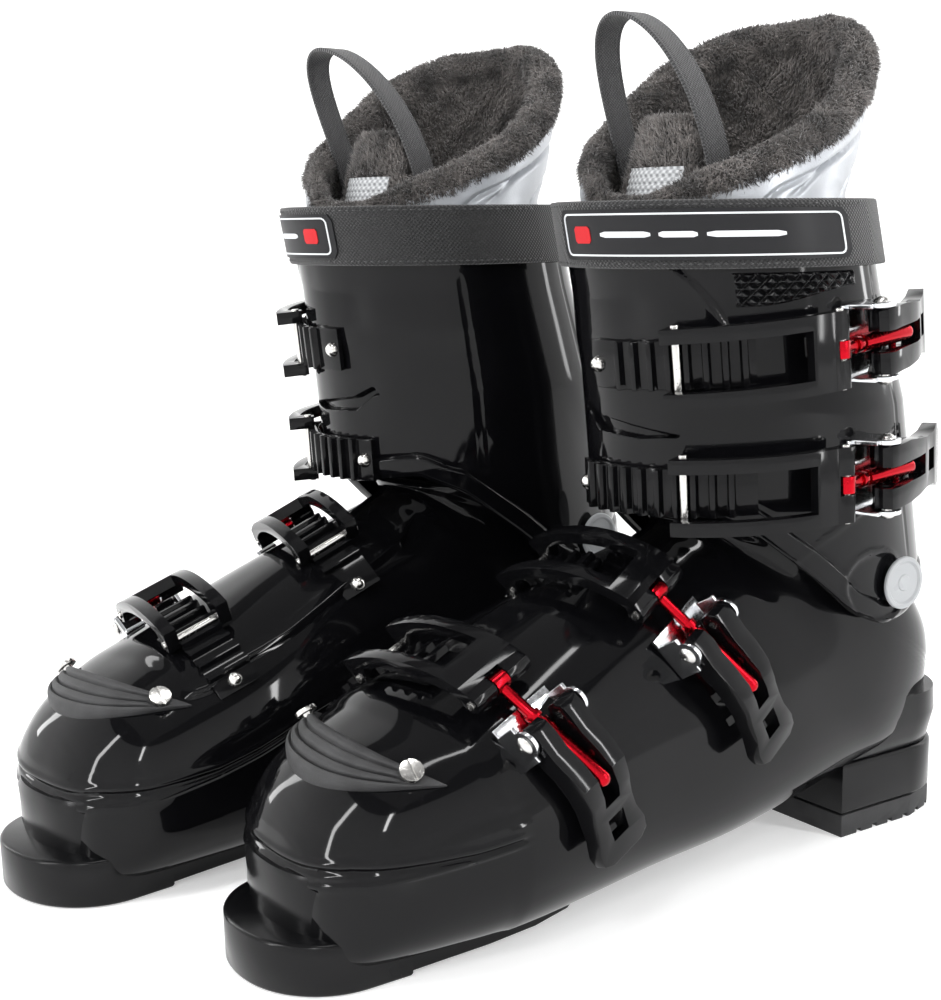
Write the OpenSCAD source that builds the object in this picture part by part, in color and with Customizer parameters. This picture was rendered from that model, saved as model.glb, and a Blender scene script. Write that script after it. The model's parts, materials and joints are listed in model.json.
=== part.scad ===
// Pair of alpine ski boots, four buckles each, on a standard alpine sole.
// Each boot is described in its own frame: x to the wearer's outer side, toes towards -y,
// z up from the floor.  The left boot is placed as drawn and the right boot is its mirror.

/* [Pair] */
// Distance between the centre lines of the two boots
boot_spacing = 131; // [128:1:260]
// How far the right boot stands in front of the left one
stagger = 39; // [0:1:60]
// How far the right boot's toe turns in towards the left boot, in degrees
toe_in = 8; // [0:0.5:8]

/* [Sole] */
// Length of the sole from toe lug to heel ledge
sole_length = 312; // [306:1:318]
// Width of the toe and heel lugs
lug_width = 69; // [66:0.5:72]
// Height of the toe lug
toe_lug_height = 18; // [16:0.5:20]
// Height of the heel ledge
heel_ledge_height = 30; // [28:0.5:31]
// Length of the heel block
heel_block_length = 74; // [68:1:78]

/* [Walls] */
// Wall of the lower shell
shell_wall = 5; // [4:0.5:6]
// Wall of the cuff
cuff_wall = 4.5; // [3.5:0.5:5]
// Padding of the liner
liner_wall = 8; // [6:0.5:9]
// Free gap between the liner and the shells
liner_gap = 1.4; // [1.2:0.1:1.8]

/* [Strap and loop] */
// Height of the power strap
strap_height = 23; // [20:1:24]
// Thickness of the power strap
strap_thickness = 3; // [2:0.5:3]
// Width of the pull loop webbing
loop_width = 11; // [9:1:16]

/* [Buckles] */
// Width of a buckle lever over its arms
lever_width = 23; // [22:0.5:24]
// Width of a catch frame
frame_width = 27; // [26:0.5:28]
// Radius of the hinge pins
pin_r = 2; // [1.8:0.1:2.2]
// Radial running clearance of a pin in its bore
running_gap = 0.05; // [0.03:0.01:0.1]
// Pitch of the ladder teeth
tooth_pitch = 6.5; // [6:0.5:8]

/* [Hidden] */
$fn = 40;
rim_points = 40;      // points round a shell or cuff section
half_sole = sole_length / 2;

// Pieces of one boot; every node is a side and a piece
PIECES = [
    "lower_shell", "heel_tread", "boot_board", "toe_pad", "cuff", "cuff_pivots",
    "liner_foot", "liner_shaft", "liner_tongue", "pull_loop", "power_strap", "strap_patch",
    "shell_ladders", "cuff_ladders", "shell_buckle_bases", "cuff_buckle_bases",
    "shell_fasteners", "cuff_fasteners",
    "toe_lever", "instep_lever", "lower_cuff_lever", "upper_cuff_lever",
    "toe_rod", "instep_rod", "lower_cuff_rod", "upper_cuff_rod",
    "toe_frame", "instep_frame", "lower_cuff_frame", "upper_cuff_frame"];

// ---- lofting -------------------------------------------------------------------------

// Smooth curve through the rows of a table, at parameter s from 0 to the last row
function spline(rows, s) =
    let (n = len(rows) - 1, i = min(n - 1, max(0, floor(s))), t = s - i,
         p0 = rows[max(0, i - 1)], p1 = rows[i], p2 = rows[i + 1], p3 = rows[min(n, i + 2)])
    0.5 * (2 * p1 + (p2 - p0) * t + (2 * p0 - 5 * p1 + 4 * p2 - p3) * t * t
           + (3 * p1 - p0 - 3 * p2 + p3) * t * t * t);

// Signed power, which makes the superellipses
function spow(v, e) = sign(v) * pow(abs(v), e);

// Closed ring of points of a foot section, pulled in by inset, and by floor more underneath.
// row = [top y, top z, bottom y, bottom z, outer half width, inner half width,
//        place of the widest line from the top, roundness above it, roundness below it]
function section(row, inset, n, floor = 0) =
    let (top0 = [0, row[0], row[1]], bot0 = [0, row[2], row[3]], u = (bot0 - top0) / norm(bot0 - top0),
         top = top0 + u * inset, bot = bot0 - u * (inset + floor))
    [for (i = [0 : n - 1])
        let (c = cos(360 * i / n), s = sin(360 * i / n), e = 2 / (c >= 0 ? row[7] : row[8]),
             q = c >= 0 ? row[6] * (1 - pow(c, e)) : row[6] + (1 - row[6]) * pow(-c, e),
             w = (s >= 0 ? row[4] : row[5]) - inset)
        top + (bot - top) * q + [w * spow(s, e), 0, 0]];

// Solid skinned over rings of equal length.  closed joins the last ring to the first one.
module skin(rings, closed = false) {
    n = len(rings[0]);
    count = len(rings);
    last = closed ? count : count - 1;
    sides = [for (k = [0 : last - 1], i = [0 : n - 1])
        let (a = k * n + i, b = k * n + (i + 1) % n,
             c = ((k + 1) % count) * n + (i + 1) % n, d = ((k + 1) % count) * n + i)
        each [[a, c, b], [a, d, c]]];
    caps = closed ? [] : [[for (i = [0 : n - 1]) i],
                          [for (i = [n - 1 : -1 : 0]) (count - 1) * n + i]];
    polyhedron([for (r = rings) each r], concat(sides, caps), convexity = 6);
}

// ---- the foot shape ------------------------------------------------------------------

// Sections of the lower shell, from the toe wall round the heel to the ankle opening
FOOT = [
    [-142, 40, -142, 6, 15, 15, 0.50, 3.2, 4.0],
    [-139, 50, -139, 5, 27.5, 27.5, 0.50, 2.4, 3.8],
    [-132, 61, -132, 4, 38, 37, 0.50, 2.2, 4.0],
    [-120,   71, -120,   3, 46, 45, 0.50, 2.2, 3.4],
    [-100,   81, -100,   3, 52, 50, 0.50, 2.2, 3.2],
    [ -75,   91,  -75,   3, 56, 53, 0.52, 2.2, 3.0],
    [ -45,  104,  -46,   4, 55, 52, 0.55, 2.1, 2.8],
    [ -18,  114,  -10,   7, 52, 50, 0.56, 2.0, 2.8],
    [   3,  120,   30,  10, 50, 48, 0.57, 2.0, 2.8],
    [  15,  124,   66,  16, 48, 46, 0.57, 2.0, 2.8],
    [21, 126.5, 100, 22, 45.4, 45, 0.56, 2.1, 2.8],
    [25, 128, 130, 26, 44, 43.6, 0.56, 2.2, 2.6],
    [27, 129.5, 149, 44, 43, 42.6, 0.54, 2.2, 2.4],
    [28, 130.5, 151, 70, 43, 42.6, 0.52, 2.2, 2.3],
    [28, 131.5, 135, 100, 43, 42.6, 0.50, 2.2, 2.2],
    [28.5, 132, 127, 128, 43, 42.6, 0.50, 2.2, 2.2]];
FOOT_END = len(FOOT) - 1;

// Rings of the foot shape between two stations
function foot_rings(inset, count, n, from = 0, to = FOOT_END, floor = 0) =
    [for (k = [0 : count - 1])
        section(spline(FOOT, from + (to - from) * k / (count - 1)), inset, n, floor)];
function reversed(list) = [for (i = [len(list) - 1 : -1 : 0]) list[i]];

module shell_skin() {
    skin(concat(foot_rings(0, 31, rim_points),
                reversed(foot_rings(shell_wall, 17, rim_points, 0.7))));
}

// Outline of a lug seen from above: straight sides and a rounded end towards -y
module lug_outline(length, roundness, end_depth) {
    w = lug_width / 2;
    steps = 14;
    polygon(concat([[w, length], [-w, length]],
        [for (k = [0 : steps]) let (t = -1 + 2 * k / steps)
            [w * t, end_depth * (1 - pow(1 - pow(abs(t), roundness), 1 / roundness))]]));
}

// ---- sole ----------------------------------------------------------------------------

toe_lug_length = 46;
module toe_lug() {
    translate([0, -half_sole, 0]) linear_extrude(height = toe_lug_height)
        lug_outline(toe_lug_length, 2.1, 30);
}

module heel_block(z0, z1) {
    translate([0, half_sole, z0]) mirror([0, 1, 0]) linear_extrude(height = z1 - z0)
        lug_outline(heel_block_length - 6, 2.2, 28);
}

tread_height = 9;
module heel_tread_solid() {
    groove = 1.6;
    groove_pitch = 9;
    grooves = 6;
    difference() {
        heel_block(0, tread_height);
        for (k = [0 : grooves - 1])
            translate([-lug_width, half_sole - 14 - k * groove_pitch, -1])
                cube([2 * lug_width, 2.4, groove + 1]);
    }
}

module lower_shell_solid() {
    union() {
        shell_skin();
        difference() {
            toe_lug();
            toe_hollow();
        }
        difference() {
            heel_block(tread_height, heel_ledge_height);
            heel_hollow();
        }
    }
}

// Parts of the two lugs that the shell cavity takes up
module toe_hollow() {
    half = [[0, -134.5], [22, -134.5], [31, -131], [36, -125], [40, -115], [42, -100]];
    translate([0, 0, 7]) linear_extrude(height = 30)
        polygon(concat(half, [for (p = reversed(half)) [-p.x, p.y]]));
}
module heel_hollow() {
    rotate([90, 0, 90]) linear_extrude(height = 52, center = true)
        polygon([[84, 22.5], [100, 25], [128, 28.8], [140, 40], [84, 40]]);
}

// Foot bed board that lies on the floor of the shell, under the liner
board_thickness = 2.6;
board_clearance = 0.4;
module boot_board_solid() {
    n = 40;
    side = 4;              // points of a ring on each side of the centre line
    rows = 22;
    function strip(inset) = [for (r = foot_rings(inset, rows, n, 2.6, 10.6))
        [for (i = [n / 2 - side : n / 2 + side]) r[i]]];
    low = strip(shell_wall + board_clearance);
    high = strip(shell_wall + board_clearance + board_thickness);
    skin([for (k = [0 : rows - 1]) concat(low[k], reversed(high[k]))]);
}

// Leaf shaped rubber pad over the top of the toe box, pointed at both sides
pad_half_angle = 52;
module toe_pad_solid() {
    steps = 9;             // rings on each side of the centre line
    across = 7;            // points over the width of the leaf
    thickness = 3.2;
    function pad_row(t) = let (low = 2.15 + 1.85 * t * t, high = 3.3 + 0.7 * t * t)
        [for (i = [0 : across - 1]) low + (high - low) * i / (across - 1)];
    function crown(i, t) = (1 - 0.85 * pow(abs(2 * i / (across - 1) - 1), 4)) * (1 - 0.8 * pow(t, 4));
    skin([for (k = [-steps : steps])
        let (t = 0.97 * k / steps, row = pad_row(t), a = 3 + pad_half_angle * t)
        concat([for (i = [0 : across - 1]) foot_point(row[i], a, 0.3)],
               [for (i = [across - 1 : -1 : 0]) foot_point(row[i], a, 0.4 + thickness * crown(i, t))])]);
}

// Point of the foot shape at station s, at an angle round it, lifted off the surface
function foot_point(s, angle, lift) =
    let (row = spline(FOOT, s), c = cos(angle), q = sin(angle), e = 2 / (c >= 0 ? row[7] : row[8]),
         top = [0, row[0], row[1]], bot = [0, row[2], row[3]],
         f = c >= 0 ? row[6] * (1 - pow(c, e)) : row[6] + (1 - row[6]) * pow(-c, e),
         w = q >= 0 ? row[4] : row[5],
         p = top + (bot - top) * f + [w * spow(q, e), 0, 0],
         centre = top + (bot - top) * row[6], out = (p - centre) / norm(p - centre))
    p + out * lift + [0, -0.25, 0.25] * lift;

// ---- cuff ----------------------------------------------------------------------------

pivot = [0, 97, 106];       // ankle axis of the cuff, along x
pivot_r = 6;
CUFF_CENTRE = [[90, 82], [142, 69], [173, 64.5], [214, 55], [250, 47]];
CUFF_DEPTH = [[90, 63.5], [142, 66.5], [173, 64], [214, 58], [250, 57]];
CUFF_WIDTH = [[90, 52], [173, 54.5], [220, 53], [250, 52]];
cuff_roundness = 2.05;      // 2 makes an ellipse and more makes it squarer
CUFF_BOTTOM = [[0, 136], [35, 140], [52, 132], [70, 114], [85, 97], [97, 90.5], [112, 93],
               [130, 99], [180, 106]];
CUFF_TOP = [[0, 219], [45, 219], [65, 233], [180, 240]];

// Point of the cuff's outer surface at angle a (0 at the shin, 90 outside, 180 behind)
function cuff_point(a, z, lift) =
    let (e = 2 / cuff_roundness)
    [(lookup(z, CUFF_WIDTH) + lift) * spow(sin(a), e),
     lookup(z, CUFF_CENTRE) - (lookup(z, CUFF_DEPTH) + lift) * spow(cos(a), e), z];
function folded(a) = a > 180 ? 360 - a : a;
function cuff_ring(t, lift, n) =
    [for (i = [0 : n - 1])
        let (a = 360 * i / n, z0 = lookup(folded(a), CUFF_BOTTOM), z1 = lookup(folded(a), CUFF_TOP))
        cuff_point(a, z0 + (z1 - z0) * t, lift)];

module cuff_solid() {
    n = 48;
    rows = 9;
    difference() {
        skin(concat([for (k = [0 : rows - 1]) cuff_ring(k / (rows - 1), 0, n)],
                    [for (k = [rows - 1 : -1 : 0]) cuff_ring(k / (rows - 1), -cuff_wall, n)]), true);
        translate(pivot) rotate([0, 90, 0]) cylinder(r = pivot_r + running_gap, h = 130, center = true);
    }
}

// Rivet with a wide flat head on each side of the ankle
module cuff_pivots_solid() {
    head_r = 10;
    inner_end = 39.5;
    head_at = 52.8;
    for (side = [-1, 1]) translate(pivot) rotate([0, 90 * side, 0]) {
        translate([0, 0, inner_end]) cylinder(r = pivot_r, h = head_at - inner_end + 0.5);
        translate([0, 0, head_at]) cylinder(r = head_r, h = 1.8);
    }
}

// ---- liner, strap and loop -----------------------------------------------------------

LINER_FOOT_END = FOOT_END - 0.9;
module liner_foot_solid() {
    outer = shell_wall + liner_gap;
    floor = board_clearance + board_thickness + 1.2 - liner_gap;
    skin(concat(foot_rings(outer, 16, 28, 2, LINER_FOOT_END, floor),
                reversed(foot_rings(outer + liner_wall, 11, 28, 2.6, LINER_FOOT_END, floor))));
}

LINER_BOTTOM = [[0, 152], [60, 142], [120, 137], [180, 137]];
// Rim of the liner on its tall and on its low side
LINER_TOP = [[0, 247], [12, 250], [26, 258], [50, 268], [65, 275], [80, 286], [95, 297], [110, 304],
             [130, 311], [180, 314]];
LINER_TOP_LOW = [[0, 247], [22, 247], [36, 251], [50, 256], [65, 260], [80, 266], [95, 272], [110, 280],
                 [130, 292], [155, 307], [180, 314]];
SHAFT_EXTRA = [[130, 0], [215, 0], [245, -1], [300, -3], [320, -4]];
SHAFT_LEAN = [[248, 0], [262, 7], [285, 14], [320, 18]];      // how far the back leans out

function shaft_ring(t, lift, n, low_side) =
    [for (i = [0 : n - 1])
        let (a = 360 * i / n, z0 = lookup(folded(a), LINER_BOTTOM),
             z1 = lookup(folded(a), (a <= 180) == (low_side > 0) ? LINER_TOP_LOW : LINER_TOP),
             z = z0 + (z1 - z0) * t, grow = lookup(z, SHAFT_EXTRA))
        cuff_point(a, z, lift + grow) + [0, lookup(z, SHAFT_LEAN) * (1 - cos(a)) / 2, 0]];

// low_side is 1 where the rim is low on the outer side, and -1 on the inner side
module liner_shaft_solid(low_side) {
    n = 36;
    rows = 9;
    outer = -cuff_wall - liner_gap;
    inner = outer - liner_wall;
    skin(concat([for (k = [0 : rows - 1]) shaft_ring(k / (rows - 1), outer, n, low_side)],
                [for (k = [rows - 1 : -1 : 0]) shaft_ring(k / (rows - 1), inner, n, low_side)]), true);
}

// Padded tongue against the inside of the shin, standing above the front of the liner
module liner_tongue_solid() {
    n = 14;
    rows = 9;
    spread = 40;
    TONGUE_LEAN = [[212, 0], [245, 8], [276, 16]];      // how far it leans back towards the leg
    inner_lift = -cuff_wall - liner_gap - liner_wall - 1.2;
    rings = [for (k = [0 : rows - 1])
        let (t = k / (rows - 1), z = 158 + (276 - 158) * t, lift = inner_lift + lookup(z, SHAFT_EXTRA),
             w = spread * (0.8 + 0.2 * sin(180 * t)) * (1 - 0.3 * pow(t, 6)),
             back = [0, lookup(z, TONGUE_LEAN), 0])
        concat([for (i = [0 : n - 1]) cuff_point(-w + 2 * w * i / (n - 1), z, lift) + back],
               [for (i = [n - 1 : -1 : 0]) cuff_point(-w + 2 * w * i / (n - 1), z, lift - 8) + back])];
    skin(rings);
}

// Webbing loop standing over the tongue, from the inner to the outer front of the liner.
// outward is how far its top leans to the outer side.
module pull_loop_solid(outward) {
    thickness = 2;
    foot_x = 24;
    bulge = 0.2;           // how far the legs bow outwards, as a part of foot_x
    forward = 0.22;        // how far it leans to the front, as a part of its height
    rise = 66 - 0.25 * abs(outward);
    base = [0, 31, 249];
    steps = 20;
    function arch(t) = [foot_x * cos(t) * (1 + bulge * sin(t)) + outward * pow(sin(t), 1.5), 0,
                        rise * pow(sin(t), 0.8)];
    path = [for (k = [0 : steps]) arch(180 * k / steps)];
    function normal_at(k) =
        let (d = path[min(steps, k + 1)] - path[max(0, k - 1)]) [d.z, 0, -d.x] / norm(d);
    rings = [for (k = [0 : steps]) let (c = base + path[k] - [0, forward * path[k].z, 0], m = normal_at(k))
        [c + m * thickness / 2 - [0, loop_width / 2, 0], c + m * thickness / 2 + [0, loop_width / 2, 0],
         c - m * thickness / 2 + [0, loop_width / 2, 0], c - m * thickness / 2 - [0, loop_width / 2, 0]]];
    skin(rings);
}

strap_low = 224;
STRAP_GROW = [[0, 0.8], [70, 1.2], [180, 2.5]];
function strap_ring(z, lift, n) =
    [for (i = [0 : n - 1]) let (a = 360 * i / n) cuff_point(a, z, lookup(folded(a), STRAP_GROW) + lift)];
module power_strap_solid() {
    n = 40;
    bottom = strap_low;
    top = strap_low + strap_height;
    skin([strap_ring(bottom, 0, n), strap_ring(bottom, strap_thickness, n),
          strap_ring(top, strap_thickness, n), strap_ring(top, 0, n)], true);
}

// Sewn patch on the front and outer side of the strap
module strap_patch_solid() {
    n = 22;
    margin = 3;
    rows = [strap_low + margin, strap_low + strap_height - margin];
    function patch_point(a, z, lift) =
        cuff_point(a, z, lookup(folded(a), STRAP_GROW) + strap_thickness + lift);
    rings = [for (i = [0 : n - 1]) let (a = -14 + 112 * i / (n - 1))
        [patch_point(a, rows[0], 0.3), patch_point(a, rows[0], 1.3),
         patch_point(a, rows[1], 1.3), patch_point(a, rows[1], 0.3)]];
    skin(rings);
}

// ---- buckles -------------------------------------------------------------------------
// A buckle works in one plane.  u runs outwards and w runs up (or to the shin on the cuff),
// and the hinge axis is square to both.

// [plane origin, hinge axis, rod eye, rod angle, lever drop, rod reach,
//  ladder centre, ladder radius, catch angle, ladder start, ladder end]
TOE        = [[0, -76, 80], [-0.200, 0.908, 0.369], [33, 14], -40.9, 33, 49,
              [2, -47], 59.6, 111, 84, 140];
INSTEP     = [[0, -10, 100], [-0.249, 0.868, 0.429], [33, 15], -50.2, 23, 49,
              [2, -29], 46.2, 117, 86, 146];
LOWER_CUFF = [[0, 69, 149.5], [0, -0.05, 0.9987], [62, 13], -99.2, 15, 42,
              [-0.4, 16], 51.5, 55, 28, 109];
UPPER_CUFF = [[0, 60, 197], [0, -0.1, 0.995], [61.5, 8], -98.6, 20, 42,
              [-0.2, 9.4], 52.3, 56, 28, 96];

function unit(v) = v / norm(v);
function axis_of(b) = unit(b[1]);
function u_of(b) = abs(axis_of(b).z) > 0.9 ? [1, 0, 0] : unit(cross(axis_of(b), [0, 0, 1]));
function w_of(b) = cross(u_of(b), axis_of(b));
function rod_dir(b) = [cos(b[3]), sin(b[3])];
function rod_out(b) = [-sin(b[3]), cos(b[3])];
hinge_along = 0.45;                    // hinge pin's place along the rod, as a part of its reach
hinge_out = 4.5;                       // hinge pin's height over the rod
function hinge_of(b) = b[2] + rod_dir(b) * b[5] * hinge_along + rod_out(b) * hinge_out;
trunnion_back = 11;                    // from the sleeve's tip back to its pivot pin
sleeve_length = 30;
sleeve_r = 3.1;
rod_r = 2;
trunnion_r = 1.4;
cross_pin_r = 1.5;
ladder_base = 2.4;
tooth_height = 2.4;
ladder_gap = 0.4;
ladder_width = 17;
catch_lift = ladder_base + ladder_gap + cross_pin_r + 0.5;

// Draws its children, which lie in the buckle's plane, at their place on the boot
module in_plane(b) {
    u = u_of(b); w = w_of(b); a = -axis_of(b); o = b[0];
    multmatrix([[u.x, w.x, a.x, o.x], [u.y, w.y, a.y, o.y], [u.z, w.z, a.z, o.z], [0, 0, 0, 1]])
        children();
}
module across(width) { linear_extrude(height = width, center = true) children(); }
module pin_across(at, r, width) { translate([at.x, at.y, 0]) cylinder(r = r, h = width, center = true); }
function polar(c, r, a) = c + r * [cos(a), sin(a)];
function arc(c, r, a0, a1, steps = 12) = [for (k = [0 : steps]) polar(c, r, a0 + (a1 - a0) * k / steps)];
function trunnion_of(b) = b[2] + rod_dir(b) * (b[5] - trunnion_back);

// Height of the bump that carries the lever over the sleeve
function hump_of(b) = (b[5] * (1 - hinge_along)) * sin(b[4]) - hinge_out * cos(b[4]);
lever_length = 52;
function bump(x) = exp(-pow((x - 22) / 13, 2));
module lever_profile(b) {
    h = max(0, hump_of(b));
    top = [for (x = [0 : 7 : lever_length - 7]) [x, 4.6 + 0.7 * h * bump(x)]];
    bottom = [for (x = [lever_length - 4 : -8 : 12]) [x, -1.6 + 0.3 * h * bump(x)]];
    polygon(concat([[-4.5, 0], [-3.4, 3.2]], top, [[lever_length, 3], [lever_length - 1, -0.5]],
                   bottom, [[3, -4.4], [-3, -3.6]]));
}
// Lever outline seen square to its face: narrow waist and a flared tip
module lever_plan() {
    h = lever_width / 2;
    half = [[-5, h - 1], [-3, h], [12, h], [30, h - 2], [40, h - 1.5], [46, h + 0.5], [50, h],
            [lever_length, h - 4]];
    polygon(concat(half, [for (p = reversed(half)) [p.x, -p.y]]));
}

module lever(b) {
    slot = 2 * sleeve_r + 1.4;
    slot_end = b[5] * (1 - hinge_along) + 5;
    g = hinge_of(b);
    q = trunnion_of(b);
    in_plane(b) difference() {
        translate([g.x, g.y, 0]) rotate([0, 0, b[3] - b[4]]) difference() {
            intersection() {
                across(lever_width + 6) lever_profile(b);
                rotate([90, 0, 0]) linear_extrude(height = 60, center = true) lever_plan();
            }
            // fork for the rod
            translate([-10, -20, -slot / 2]) cube([slot_end + 10, 60, slot]);
            // window near the tip
            translate([slot_end + 5, -20, -4]) cube([8, 40, 8]);
        }
        pin_across(g, pin_r + running_gap, 60);
        pin_across(q, trunnion_r + running_gap, lever_width - 6);
    }
}

// Threaded rod with its eye, collar, sleeve and pivot pin
module rod(b) {
    eye = b[2];
    in_plane(b) difference() {
        union() {
            translate([eye.x, eye.y, 0]) rotate([0, 0, b[3]]) rotate([0, 90, 0]) {
                cylinder(r = rod_r, h = b[5] - sleeve_length + 2);
                translate([0, 0, b[5] - sleeve_length - 4]) cylinder(r = 2.9, h = 2.6);
                translate([0, 0, b[5] - sleeve_length])
                    cylinder(r = sleeve_r, h = sleeve_length - sleeve_r);
                translate([0, 0, b[5] - sleeve_r]) sphere(r = sleeve_r);
            }
            pin_across(eye, 3.4, 6);
            pin_across(trunnion_of(b), trunnion_r, lever_width - 7);
        }
        pin_across(eye, cross_pin_r + running_gap, 20);
    }
}

// Catch frame: a fork of two curved rails over the ladder, with a cross pin at each end
module frame(b) {
    c = b[6];
    r_rail = b[7] + 8.2;
    rail = 4.6;
    eye_v = b[2] - c;
    eye_a = atan2(eye_v.y, eye_v.x);
    catch_p = polar(c, b[7] + catch_lift, b[8]);
    window = frame_width - 10;
    in_plane(b) {
        difference() {
            across(frame_width) union() {
                polygon(concat(arc(c, r_rail + rail, eye_a + 2, b[8] + 3),
                               [polar(c, b[7] + catch_lift - 2.6, b[8] + 2.4),
                                polar(c, b[7] + catch_lift - 2.6, b[8] - 2.4)],
                               arc(c, r_rail, b[8] - 5, eye_a + 2)));
                polygon([polar(c, r_rail + rail, eye_a + 5), polar(c, r_rail, eye_a + 5),
                         b[2] + [-1.8, -3.0], b[2] + 3.4 * rod_dir(b), b[2] + 3.4 * rod_out(b)]);
                translate(b[2]) circle(r = 3.2);
            }
            // opening between the rails, from the rod's end out over the catch pin
            translate([c.x, c.y, -window / 2]) linear_extrude(height = window)
                polygon(concat(arc([0, 0], b[7] + 30, eye_a + 13, b[8] + 20), [[0, 0]]));
            // room for the rod's eye
            pin_across(b[2], 5.2, 7.2);
            pin_across(b[2], cross_pin_r + 0.01, 60);
            pin_across(catch_p, cross_pin_r + 0.01, 60);
        }
        pin_across(b[2], cross_pin_r, frame_width + 1.2);
        pin_across(catch_p, cross_pin_r, frame_width + 1.2);
    }
}

// Toothed rack that the catch pin hooks into
module ladder(b) {
    c = b[6];
    r0 = b[7] + ladder_gap;
    r1 = r0 + ladder_base;
    step = tooth_pitch / r1 * 180 / PI;
    start = b[9];
    teeth = floor((b[10] - start - 8) / step);
    first = b[8] - floor((b[8] - start) / step) * step + step / 2;
    in_plane(b) {
        across(ladder_width) polygon(concat(arc(c, r1, start, b[10]), arc(c, r0, b[10], start)));
        for (k = [0 : teeth - 1]) let (a = first + k * step)
            if (a + step / 2 < b[10] - 3)
                across(ladder_width) polygon([polar(c, r1 - 0.2, a - 0.24 * step),
                    polar(c, r1 + tooth_height, a - 0.12 * step),
                    polar(c, r1 + tooth_height, a + 0.16 * step), polar(c, r1 - 0.2, a + 0.24 * step)]);
    }
}

// Chrome bracket with two ears for the lever's hinge pins
ear = 1.5;
function ear_inside() = lever_width / 2 + 0.6;
module buckle_base(b) {
    g = hinge_of(b);
    depth = 9.2;
    in_plane(b) translate([g.x, g.y, 0]) rotate([0, 0, b[3] - 0.35 * b[4]]) difference() {
        union() {
            for (side = [-1, 1]) translate([0, 0, side * (ear_inside() + ear / 2)])
                across(ear) union() {
                    circle(r = 5);
                    translate([-7, -depth]) square([14, depth]);
                }
            translate([-10, -depth - 1.5, 0])
                rotate([-90, 0, 0]) linear_extrude(height = 1.5)
                    translate([0, -ear_inside() - ear]) square([17, 2 * (ear_inside() + ear)]);
        }
        pin_across([0, 0], pin_r + 0.01, 60);
    }
}

// Hinge pins with domed heads
module hinge_pins(b) {
    g = hinge_of(b);
    length = 8.6;
    for (side = [-1, 1]) in_plane(b) translate([g.x, g.y, 0]) {
        translate([0, 0, side * (ear_inside() + ear - length / 2 + 0.2)])
            cylinder(r = pin_r, h = length, center = true);
        translate([0, 0, side * (ear_inside() + ear + 0.2)]) scale_dome(side);
    }
}
module scale_dome(side) {
    rotate([0, side > 0 ? 0 : 180, 0]) intersection() {
        translate([0, 0, -2]) sphere(r = 3.8);
        cylinder(r = 4, h = 4);
    }
}

// Rivet that holds the far end of a ladder to the boot
module ladder_rivet(b) {
    p = polar(b[6], b[7] - 4.5, b[10] - 4);
    in_plane(b) translate([p.x, p.y, 0]) rotate([0, 0, b[10] - 4]) rotate([0, 90, 0]) {
        cylinder(r = 1.8, h = 7.5);
        translate([0, 0, 7.2]) sphere(r = 3);
    }
}

// Slotted screw at each end of the toe pad
module toe_pad_screws() {
    for (a = [42, -37]) {
        p = foot_point(3.58, a, -3.4);
        q = foot_point(3.58, a, 4.2);
        translate(p) multmatrix(aim(q - p)) difference() {
            union() {
                cylinder(r = 1.8, h = norm(q - p));
                translate([0, 0, norm(q - p) - 0.9]) cylinder(r = 4, h = 1.6);
            }
            translate([-5, -0.5, norm(q - p) + 0.2]) cube([10, 1, 2]);
        }
    }
}
// Rotation that turns +z to a direction
function aim(v) =
    let (z = unit(v), x = unit(cross([0, 1, 0], z)), y = cross(z, x))
    [[x.x, y.x, z.x, 0], [x.y, y.y, z.y, 0], [x.z, y.z, z.z, 0], [0, 0, 0, 1]];

// ---- one boot ------------------------------------------------------------------------

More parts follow.
